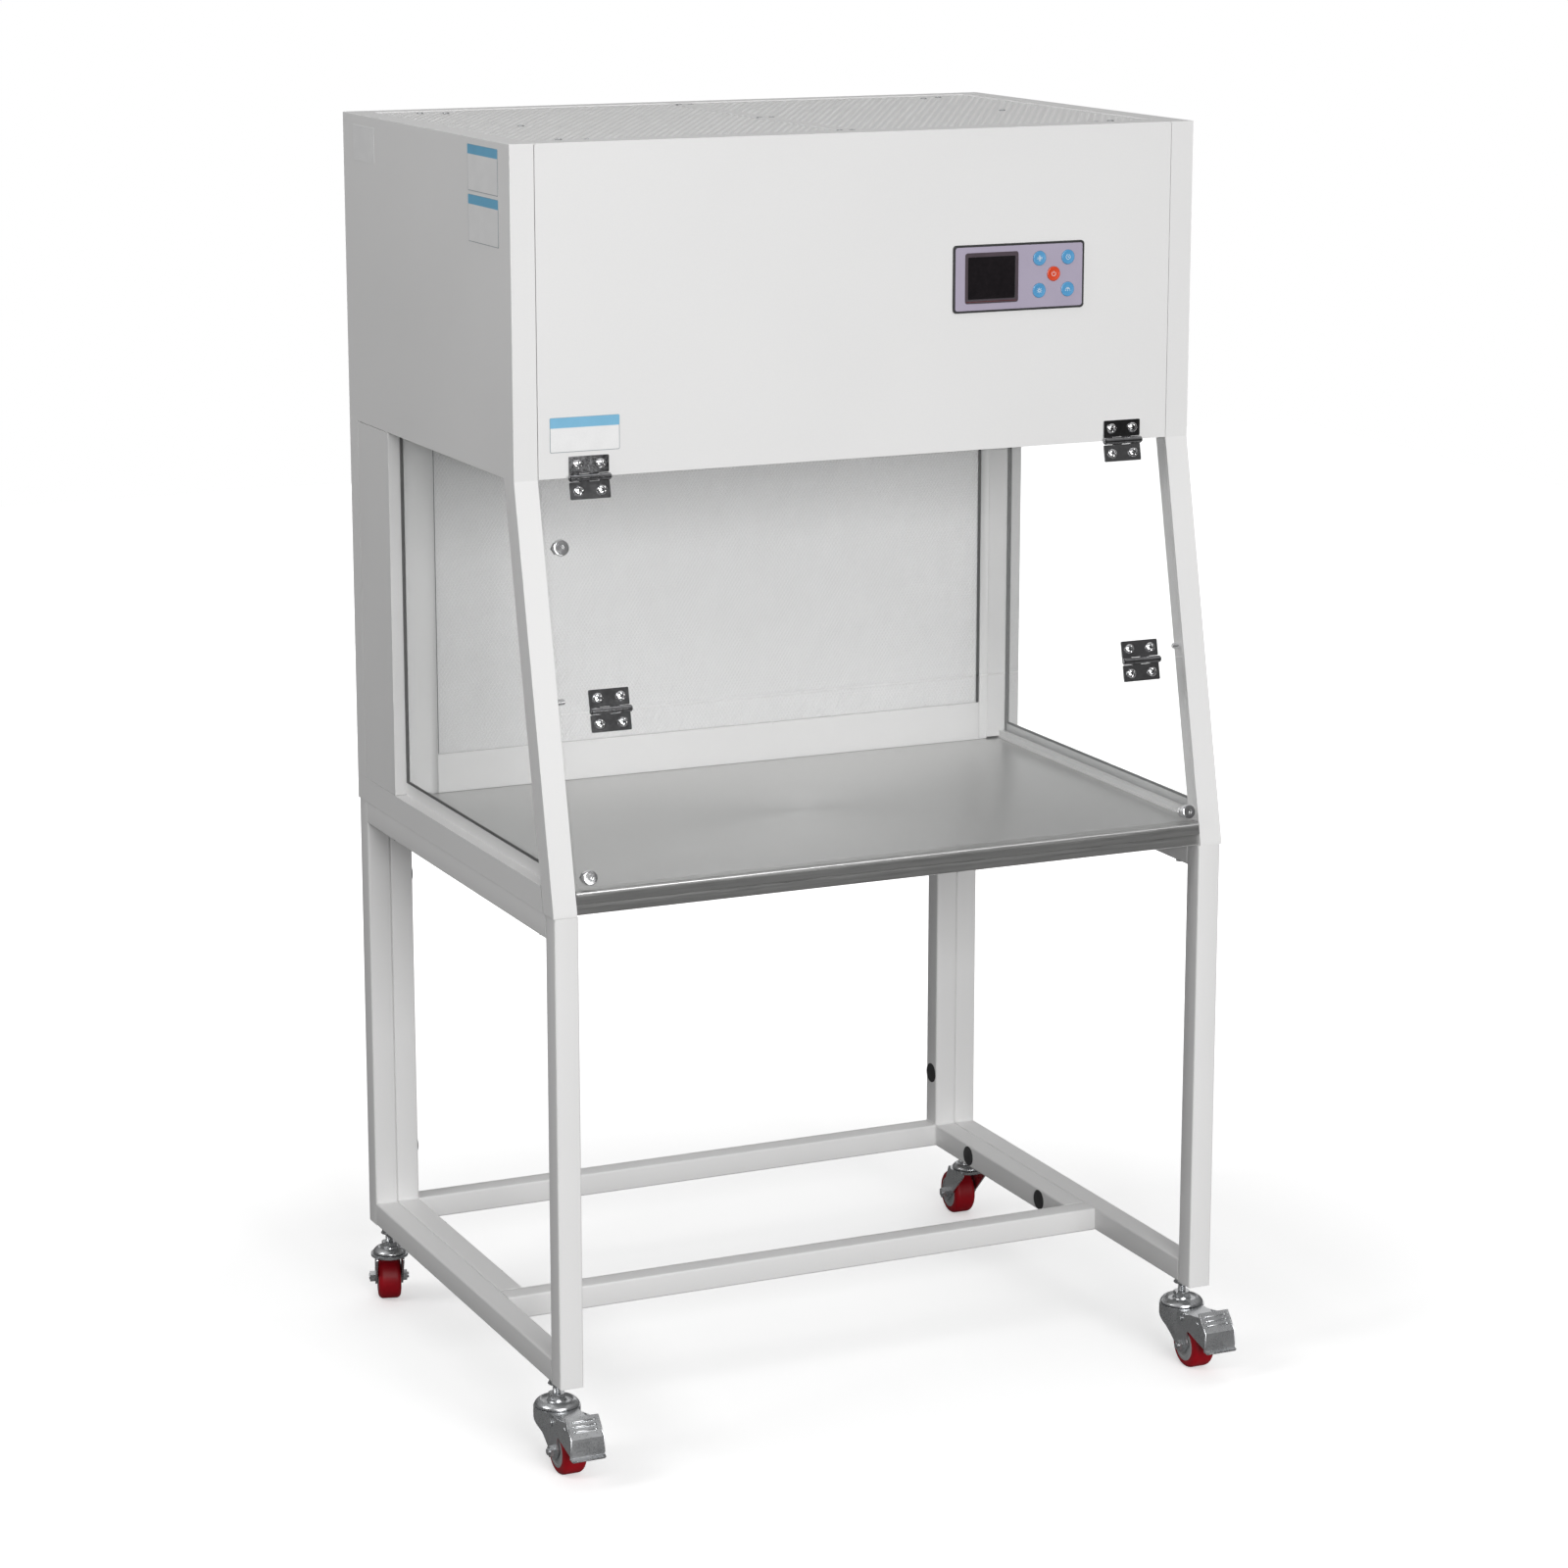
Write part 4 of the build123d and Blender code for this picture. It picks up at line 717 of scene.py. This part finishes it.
for name in braked:
    pedal = f"caster_{name}_brake_pedal"
    low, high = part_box(pedal)
    centre_x = (low.x + high.x) / 2
    refined(pedal, zinc, 1.0 * mm)
    hinge = joint_place(name + "_pedal_press")
    swivel = joint_place(name + "_swivel_turn")
    extra = Shape()
    for drop in (6.0, 12.0, 18.0):
        reach, z = 80.55 + ramp_out * drop, 88.4 - ramp_down * drop
        extra.put(stroke([at_pedal(swivel, x, reach, z) for x in (-13.6, -13, 13, 13.6)],
                         [0.5 * mm, 1.0 * mm, 1.0 * mm, 0.5 * mm], sides=12), paint=1)
        for x in (-13.6, 13.6):
            extra.put(rib_end, facing(at_pedal(swivel, x, reach - 0.4, z - 0.3),
                                      (0, -ramp_down, ramp_out)), paint=1)
    extra.put(stroke([at_pedal(swivel, x, 101.5, 40.9) for x in (-18.6, -17.4, 17.4, 18.6)],
                     [0.7 * mm, 1.35 * mm, 1.35 * mm, 0.7 * mm], sides=14), paint=1)
    for side in (-1, 1):
        flange = [at_pedal(swivel, side * x, reach, z) for x, reach, z in flange_line]
        extra.put(stroke(flange, 1.15 * mm, sides=14), paint=1)
        extra.put(rivet, facing(at_pedal(swivel, side * 20.5, 75.0, 72.0), (side, 0, 0)), paint=1)
    coil = []
    for k in range(coil_turns * coil_steps):
        angle = math.tau * k / coil_steps
        along = centre_x - coil_half + k / (coil_turns * coil_steps) * 2 * coil_half
        coil.append((along, hinge.y + coil_radius * math.cos(angle),
                     hinge.z + coil_radius * math.sin(angle)))
    extra.put(stroke(coil, 0.75 * mm))
    extra.piece(f"caster_{name}_brake_fittings", f"{name}_pedal", [zinc_dark, zinc], "zinc", crease=60)

# ---------------------------------------------------------------- hood shell


def on_bend(edge):
    return all(abs(v.co.z - bend_z) < 0.3 * mm for v in edge.verts)


for node in ("side_panel_left", "side_panel_right"):
    refined(node, white, 2.0 * mm, segments=4, unbroken=on_bend)
refined("front_panel", white, 1.2 * mm)
refined("rear_panel", white, 2.0 * mm)
refined("hood_base", white, 0.8 * mm)
# Parts inside the hood take the powder coat with painted shade
refined("plenum_casing", white_shaded_inside, 0.8 * mm)
refined("rear_wall_frame", white_shaded_inside, 0.6 * mm)
refined("ceiling_panel", white_shaded_inside, 0.8 * mm)
refined("power_inlet", black, 0.6 * mm)

# Worktop: one folded sheet with a rolled nose, a stepped fascia and a return lip
nose = 3.0 * mm
sheet = 1.5 * mm
step_z = top_lo.z + 12.5 * mm


def arc(cy, cz, radius, start, end, steps=6):
    angles = [math.radians(start + (end - start) * k / steps) for k in range(steps + 1)]
    return [(cy + radius * math.cos(a), cz + radius * math.sin(a)) for a in angles]


fascia_y = top_lo.y
profile = [(top_hi.y, top_hi.z)]
profile += arc(fascia_y + nose, top_hi.z - nose, nose, 90, 180)
profile += [(fascia_y, step_z + 2.2 * mm), (fascia_y + 0.4 * mm, step_z + 1.0 * mm),
            (fascia_y + 2.0 * mm, step_z)]
profile += arc(fascia_y + 4.0 * mm, top_lo.z + 2 * mm, 2 * mm, 180, 270)
profile += [(fascia_y + 17 * mm, top_lo.z), (fascia_y + 17 * mm, top_lo.z + sheet)]
profile += [(fascia_y + 4.4 * mm, top_lo.z + sheet), (fascia_y + 3.5 * mm, top_lo.z + 2.6 * mm),
            (fascia_y + 3.5 * mm, step_z), (fascia_y + sheet + 0.5 * mm, step_z + 1.6 * mm),
            (fascia_y + sheet, step_z + 2.6 * mm)]
profile += list(reversed(arc(fascia_y + nose, top_hi.z - nose, nose - sheet, 90, 180)))
profile += [(top_hi.y, top_hi.z - sheet)]
worktop = Shape()
end_strip = 0.2 * mm
rings = [[(x, y, z) for y, z in reversed(profile)]
         for x in (top_hi.x, top_hi.x - end_strip, top_lo.x + end_strip, top_lo.x)]
worktop.put(loft(rings))
worktop.piece("worktop_folded", root, [steel], "stainless", ["worktop"], crease=30)

# Roof: perforated plates, screw heads and the seam
thick = grille_hi.z - grille_lo.z
pitch_x, pitch_y, hole_r = 10.2 * mm, 8.9 * mm, 3.1 * mm
border_x, border_y = 18 * mm, 14 * mm


def perforated(x_range, y_range, z_top):
    """A plate of staggered round holes between plain borders."""
    verts, faces = [], []
    columns = int((x_range[1] - x_range[0] - border_x) / pitch_x)
    rows = int((y_range[1] - y_range[0] - border_y) / pitch_y)
    x0 = (x_range[0] + x_range[1] - (columns + 0.5) * pitch_x) / 2
    y0 = (y_range[0] + y_range[1] - rows * pitch_y) / 2
    x1, y1 = x0 + (columns + 0.5) * pitch_x, y0 + rows * pitch_y

    def slab(xa, xb, ya, yb):
        start = len(verts)
        corners = [(xa, ya), (xb, ya), (xb, yb), (xa, yb)]
        verts.extend([(x, y, z_top) for x, y in corners] + [(x, y, z_top - thick) for x, y in corners])
        faces.append(tuple(start + i for i in (0, 1, 2, 3)))
        faces.append(tuple(start + i for i in (7, 6, 5, 4)))

    slab(x_range[0], x_range[1], y_range[0], y0)
    slab(x_range[0], x_range[1], y1, y_range[1])
    slab(x_range[0], x0, y0, y1)
    slab(x1, x_range[1], y0, y1)
    for row in range(rows):
        shift = pitch_x / 2 if row % 2 else 0.0
        low, high = y0 + row * pitch_y, y0 + (row + 1) * pitch_y
        if shift:
            slab(x0, x0 + shift, low, high)
        else:
            slab(x1 - pitch_x / 2, x1, low, high)
        for column in range(columns):
            xa = x0 + shift + column * pitch_x
            xb = xa + pitch_x
            cx, cy = (xa + xb) / 2, (low + high) / 2
            start = len(verts)
            outline = [(cx + hole_r * math.cos(math.tau * (k + 0.5) / 8),
                        cy + hole_r * math.sin(math.tau * (k + 0.5) / 8)) for k in range(8)]
            square = [(xb, high), (xa, high), (xa, low), (xb, low)]
            for z in (z_top, z_top - thick):
                verts.extend([(x, y, z) for x, y in outline + square])
            for k in range(4):
                a, b = 2 * k, (2 * k + 1) % 8
                c = (2 * k + 2) % 8
                corner, following = 8 + k, 8 + (k + 1) % 4
                for face in ((corner, b, a), (corner, following, c, b)):
                    faces.append(tuple(start + i for i in face))
                    faces.append(tuple(start + 12 + i for i in reversed(face)))
            for k in range(8):
                j = (k + 1) % 8
                faces.append((start + k, start + j, start + 12 + j, start + 12 + k))
    return verts, faces


half_joint = 0.3 * mm
for name, x_range in (("roof_grille_right", (half_joint, grille_hi.x)),
                      ("roof_grille_left", (grille_lo.x, -half_joint))):
    grille = Shape().put(perforated(x_range, (grille_lo.y, grille_hi.y), grille_hi.z))
    grille.piece(name, root, [white], "white_coat", ["roof_grilles"], crease=30)

seam = Shape()
seam.put(plate(22 * mm, grille_hi.y - grille_lo.y - 14 * mm, 0.9 * mm, radius=1.5 * mm),
         Matrix.Translation((0, (grille_lo.y + grille_hi.y) / 2, grille_hi.z)))
seam.piece("roof_seam_strip", root, [white], "white_coat")
screws = Shape()
seam_x = 8
screw_spots = [(333, 150), (362, 165), (325, 381), (333, 620), (362, 635), (seam_x, 156), (seam_x, 387),
               (seam_x, 640)]
for x, y in screw_spots:
    for side in (1, -1):
        lift = grille_hi.z + (0.5 * mm if x == seam_x else 0)
        turn = rng.uniform(0, math.pi)
        screws.put(cross_head(4.2 * mm, 1.0 * mm),
                   facing((side * x * mm, front_y + y * mm, lift), axis_z, turn))
screws.piece("roof_screw_heads", root, [zinc_dark], "zinc", crease=50)
paint_node("bolts_and_screws", zinc)
paint_node("roof_crossbar", galvanised)
paint_node("prefilter", mat_fibre)

# Blank label plates
labels = Shape()
label_t = 0.35 * mm
front_out = (0, -1, 0)


def label(x_range, z_range, face, out_way, head=0.0):
    """A blank plate stuck to an upright face, with a blue head band on some."""
    a, b = x_range
    z0, z1 = z_range
    width, high = b - a, z1 - z0
    if out_way == front_out:
        middle = Vector(((a + b) / 2, face, (z0 + z1) / 2))
        basis = Matrix(((1, 0, 0), (0, 0, -1), (0, 1, 0))).to_4x4()
    else:
        middle = Vector((face, (a + b) / 2, (z0 + z1) / 2))
        basis = Matrix(((0, 0, -1), (-1, 0, 0), (0, 1, 0))).to_4x4()
    place = Matrix.Translation(middle) @ basis
    labels.put(plate(width, high, label_t, radius=1.6 * mm, round_over=0.1 * mm), place,
               paint=2 if head else 0)
    if head:
        rise = Matrix.Translation((0, 0, label_t))
        field = plate(width - 1.6 * mm, high - 1.6 * mm, 0.1 * mm, radius=1 * mm, round_over=0.03 * mm)
        labels.put(field, place @ rise)
        top = high / 2 - head / 2
        labels.put(plate(width - 0.6 * mm, head, 0.2 * mm, radius=1 * mm, round_over=0.05 * mm),
                   place @ rise @ Matrix.Translation((0, top - 0.3 * mm, 0)), paint=1)


label((-400 * mm, -312.8 * mm), (1214.5 * mm, 1255.4 * mm), face_y, front_out, head=12 * mm)
left_out = (-1, 0, 0)
side_face = -skin_hi.x
tall_labels = (front_y + 144.7 * mm, front_y + 242.5 * mm)
label(tall_labels, (1508 * mm, 1561.8 * mm), side_face, left_out, head=11 * mm)
label(tall_labels, (1449 * mm, 1504 * mm), side_face, left_out, head=11 * mm)
label((front_y + 573 * mm, front_y + 651 * mm), (1513 * mm, 1557 * mm), side_face, left_out)
labels.piece("blank_labels", root, [print_white, print_blue, print_grey], "white_coat")

# ---------------------------------------------------------------- diffuser and filter

cell_w, cell_h = 4.8 * mm, 3.8 * mm
weave = Shape()
weave_y = mesh_lo.y + 0.6 * mm
rows = int((mesh_hi.z - mesh_lo.z) / cell_h)
half_steps = int((mesh_hi.x - mesh_lo.x) / (cell_w / 2))
strand_w, strand_t = 1.05 * mm, 0.7 * mm
for row in range(rows):
    middle = mesh_lo.z + (row + 0.5) * cell_h
    rings = []
    for k in range(half_steps + 1):
        x = mesh_lo.x + k * cell_w / 2
        swing = 0.5 if (k + row) % 2 else -0.5
        z = middle + swing * (cell_h - strand_w * 0.6)
        tilt = 0.35 * mm * swing
        rings.append([(x, weave_y - strand_t / 2 + tilt, z - strand_w / 2),
                      (x, weave_y - strand_t / 2 - tilt, z + strand_w / 2),
                      (x, weave_y + strand_t / 2 - tilt, z + strand_w / 2),
                      (x, weave_y + strand_t / 2 + tilt, z - strand_w / 2)])
    weave.put(loft([list(reversed(ring)) for ring in rings]))
weave.piece("diffuser_expanded_mesh", root, [strands], "mesh_white", ["diffuser_mesh"], crease=25)

scrim = Shape()
scrim.put(bar((mesh_lo.x + 1 * mm, mesh_hi.y + 0.1 * mm, mesh_lo.z + 1 * mm),
              (mesh_hi.x - 1 * mm, mesh_hi.y + 0.4 * mm, mesh_hi.z - 1 * mm), 0, 0.1 * mm,
              nick=0.05 * mm))
scrim.piece("diffuser_scrim", root, [fabric], "mesh_white")
paint_node("hepa_media", pleats)
refined("hepa_frame", aluminium, 0.8 * mm)

gasket = Shape()
gap_x = mesh_hi.x - 5 * mm
gasket.put(bar((gap_x - 3.4 * mm, wall_lo.y + 1.2 * mm, mesh_lo.z + 5 * mm),
               (gap_x - 0.4 * mm, wall_lo.y + 3.6 * mm, mesh_hi.z - 5 * mm), 2, 0.6 * mm))
gasket.put(bar((-gap_x + 0.4 * mm, wall_lo.y + 2.2 * mm, mesh_lo.z + 5 * mm),
               (-gap_x + 1.6 * mm, wall_lo.y + 3.6 * mm, mesh_hi.z - 5 * mm), 2, 0.3 * mm))
gasket.piece("diffuser_gasket", root, [rubber], "black_rubber")

clips = Shape()
clip_count = 9
for k in range(clip_count):
    x = -gap_x + (k + 0.5) * 2 * gap_x / clip_count
    clips.put(plate(9 * mm, 3.4 * mm, 1.2 * mm, radius=0.8 * mm),
              facing((x, wall_lo.y + 1 * mm, mesh_lo.z + 3.2 * mm), front_out))
# The clips take the powder coat with painted shade
clips.piece("diffuser_clips", root, [white_shaded_inside], "white_coat")

# ---------------------------------------------------------------- parts inside the hood

for node, material in (("blower_housing", galvanised), ("blower_motor", cast),
                       ("blower_impeller", black), ("led_lamp", lamp), ("uv_lamp", tube_glass),
                       ("control_board", board), ("window_seals", seal), ("pane_rests", bright)):
    paint_node(node, material)

# ---------------------------------------------------------------- glazing

pillar_run, pillar_rise = 107.6, 491.0
slope = math.atan2(pillar_run, pillar_rise)
sash_normal = Vector((0, -math.cos(slope), math.sin(slope)))


def pane_side(face):
    return abs(face.normal.dot(sash_normal)) < 0.7


def window_side(face):
    return abs(face.normal.x) < 0.7


# The cut edges of the panes and windows take the pane edge tint with its painted highlight
for node in ("upper_pane", "lower_pane"):
    refined(node, [pane_glass, pane_edge_highlight], 0.5 * mm, segments=2, paint=pane_side)
refined("side_windows", [window_glass, pane_edge_highlight], 0.5 * mm, segments=2,
        paint=window_side)

# ---------------------------------------------------------------- hinges and sash fittings

for node in ("upper_hinge_fixed_leaves", "upper_hinge_moving_leaves", "lower_hinge_fixed_leaves",
             "lower_hinge_moving_leaves"):
    refined(node, chrome, 0.7 * mm)
for node in ("upper_latch", "sash_knobs"):
    refined(node, bright, 0.5 * mm, segments=2)

down = Vector((0, -math.sin(slope), -math.cos(slope)))
bend = Vector((0, face_y, bend_z))
shift = 4.8 * math.tan(slope / 2) * mm
hinge_x, screw_reach, half_pitch = 352.2 * mm, 15 * mm, 14.4 * mm
fold = 271.4 * mm
front = Vector(front_out)
screw_rows = [
    ("upper_hinge_fixed_screws", root, bend + axis_z * (shift + screw_reach), front),
    ("upper_hinge_moving_screws", "upper_sash", bend + down * (shift + screw_reach), sash_normal),
    ("lower_hinge_fixed_screws", "upper_sash", bend + down * (fold - screw_reach), sash_normal),
    ("lower_hinge_moving_screws", "lower_sash", bend + down * (fold + screw_reach), sash_normal),
]
for name, body, row, out_way in screw_rows:
    heads = Shape()
    for hinge in (-hinge_x, hinge_x):
        for x in (-half_pitch, half_pitch):
            spot = row + axis_x * (hinge + x) + out_way * 2.5 * mm
            heads.put(cross_head(6.4 * mm, 3.0 * mm), facing(spot, out_way, rng.uniform(0, math.pi)))
    heads.piece(name, body, [bright], "bright_steel", crease=50)

# ---------------------------------------------------------------- control panel

panel_basis = Matrix(((1, 0, 0), (0, 0, -1), (0, 1, 0))).to_4x4()


def on_panel(x, z, proud=0.0):
    """A placement on the front face, with X to the right, Y up and Z out."""
    return Matrix.Translation((x, face_y - proud, z)) @ panel_basis


bezel_c = (bezel_lo + bezel_hi) / 2
screen_c = (screen_lo + screen_hi) / 2
proud = bezel_hi.y - bezel_lo.y
key_nodes = ("power_button", "fan_button", "timer_button", "light_button", "uv_button")
power_lo, power_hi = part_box("power_button")
key_r = (power_hi.x - power_lo.x) / 2


def flat_plate(name, outline, holes, depth_range, material, stands_for=(), ease=0.25 * mm):
    """A flat plate in the panel's face with holes through it, with eased edges."""
    curve = bpy.data.curves.new(name, "CURVE")
    curve.dimensions = "2D"
    curve.fill_mode = "BOTH"
    low, high = depth_range
    curve.extrude = (high - low) / 2 - ease
    curve.bevel_depth = ease
    curve.bevel_resolution = 2
    for points in [outline] + holes:
        spline = curve.splines.new("POLY")
        spline.points.add(len(points) - 1)
        for point, (x, y) in zip(spline.points, points):
            point.co = (x, y, 0, 1)
        spline.use_cyclic_u = True
    temporary = bpy.data.objects.new(name, curve)
    scene.collection.objects.link(temporary)
    graph = bpy.context.evaluated_depsgraph_get()
    mesh = bpy.data.meshes.new_from_object(temporary.evaluated_get(graph))
    bpy.data.objects.remove(temporary)
    mesh.transform(on_panel(bezel_c.x, bezel_c.z, (low + high) / 2))
    mesh.materials.clear()
    mesh.materials.append(material)
    mesh.shade_smooth()
    mesh.set_sharp_from_angle(angle=math.radians(30))
    made = bpy.data.objects.new(name, mesh)
    scene.collection.objects.link(made)
    return settle(made, root, stands_for)


def moved(points, x, y):
    return [(a + x, b + y) for a, b in points]


width, high = bezel_hi.x - bezel_lo.x, bezel_hi.z - bezel_lo.z
screen_w, screen_h = screen_hi.x - screen_lo.x, screen_hi.z - screen_lo.z
screen_at = (screen_c.x - bezel_c.x, screen_c.z - bezel_c.z)
window = moved(rounded(screen_w - 1 * mm, screen_h - 1 * mm, 1.5 * mm), *screen_at)
circle = [(math.cos(math.tau * k / 48), math.sin(math.tau * k / 48)) for k in range(48)]
key_hole_r = key_r + 0.3 * mm
key_holes = []
for node in key_nodes:
    lo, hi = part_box(node)
    at = ((lo.x + hi.x) / 2 - bezel_c.x, (lo.z + hi.z) / 2 - bezel_c.z)
    key_holes.append([(at[0] + key_hole_r * x, at[1] + key_hole_r * y) for x, y in circle])
flat_plate("bezel_case", rounded(width, high, 4 * mm, 8), [window] + key_holes,
           (0, proud - 0.15 * mm), black, ["control_bezel"], ease=0.6 * mm)
band = moved(rounded(screen_w + 7 * mm, screen_h + 9 * mm, 3.5 * mm, 6), *screen_at)
flat_plate("bezel_overlay", rounded(width - 4.4 * mm, high - 4.4 * mm, 3 * mm, 8), [band] + key_holes,
           (proud - 0.5 * mm, proud), overlay, ease=0.1 * mm)
flat_plate("screen_surround", band, [window], (proud - 0.6 * mm, proud - 0.02 * mm), surround,
           ease=0.1 * mm)
flat_plate("screen_glass",
           moved(rounded(screen_w - 0.2 * mm, screen_h - 0.2 * mm, 1 * mm), *screen_at), [],
           (-2.5 * mm, proud - 0.7 * mm), screen, ["display"], ease=0.1 * mm)
flat_plate("screen_status_line", moved(rounded(screen_w + 3 * mm, 0.5 * mm, 0.2 * mm), screen_at[0],
                                       screen_at[1] - screen_h / 2 - 2.1 * mm), [],
           (proud - 0.3 * mm, proud + 0.02 * mm), screen_red, ease=0.05 * mm)


def line(points, width=0.55 * mm):
    """A printed stroke of an icon, slightly raised."""
    return stroke([(x * mm, y * mm, 0) for x, y in points], width / 2, sides=6, flat=0.35)


def polar(radius, angle):
    return (radius * math.cos(angle), radius * math.sin(angle))


def arc_points(radius, start, end, steps=16):
    return [polar(radius, math.radians(start + (end - start) * k / steps)) for k in range(steps + 1)]


quarters = [math.tau * k / 4 for k in range(4)]
eighths = [math.tau * k / 8 for k in range(8)]
icons = {
    "power_button": [arc_points(2.6, 125, 415), [(0, 0.6), (0, 3.2)]],
    "fan_button": [[polar(0.5, a), polar(2.0, a + 0.5), polar(3.3, a + 0.35), polar(3.0, a - 0.35),
                    polar(0.6, a)] for a in quarters],
    "timer_button": [arc_points(2.9, 90, 430, 24), [(0, 1.9), (0, 0), (1.5, -0.7)]],
    "light_button": [arc_points(1.5, 0, 360, 20)] + [[polar(2.2, a), polar(3.3, a)] for a in eighths],
    "uv_button": [[(-3.0, 0.6), (3.0, 0.6)], [(-2.6, -0.6), (-3.1, -2.4)], [(0, -0.6), (0, -2.6)],
                  [(2.6, -0.6), (3.1, -2.4)], [(-1.9, 1.8), (1.9, 1.8)]],
}
r = key_r / mm
cap_form = lathe([(r * 0.3, -4.8), (r, -4.8), (r, -0.75), (r - 0.25, -0.28), (r - 0.8, -0.05),
                  (r - 1.4, -0.1), (r - 2.2, -0.22), (r * 0.4, -0.32), (0.1, -0.34)], 64)
for node in key_nodes:
    lo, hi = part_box(node)
    middle = (lo + hi) / 2
    body = nodes[node]["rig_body"]
    top = face_y - lo.y
    paint, slot = (orange, "button_red") if node == "power_button" else (blue, "button_blue")
    key = Shape().put(cap_form, on_panel(middle.x, middle.z, top))
    key.piece(node + "_cap", body, [paint], slot, [node], crease=40)
    icon = Shape()
    for points in icons[node]:
        icon.put(line(points), on_panel(middle.x, middle.z, top - 0.3 * mm))
    icon.piece(node + "_icon", body, [print_white], slot, crease=60)
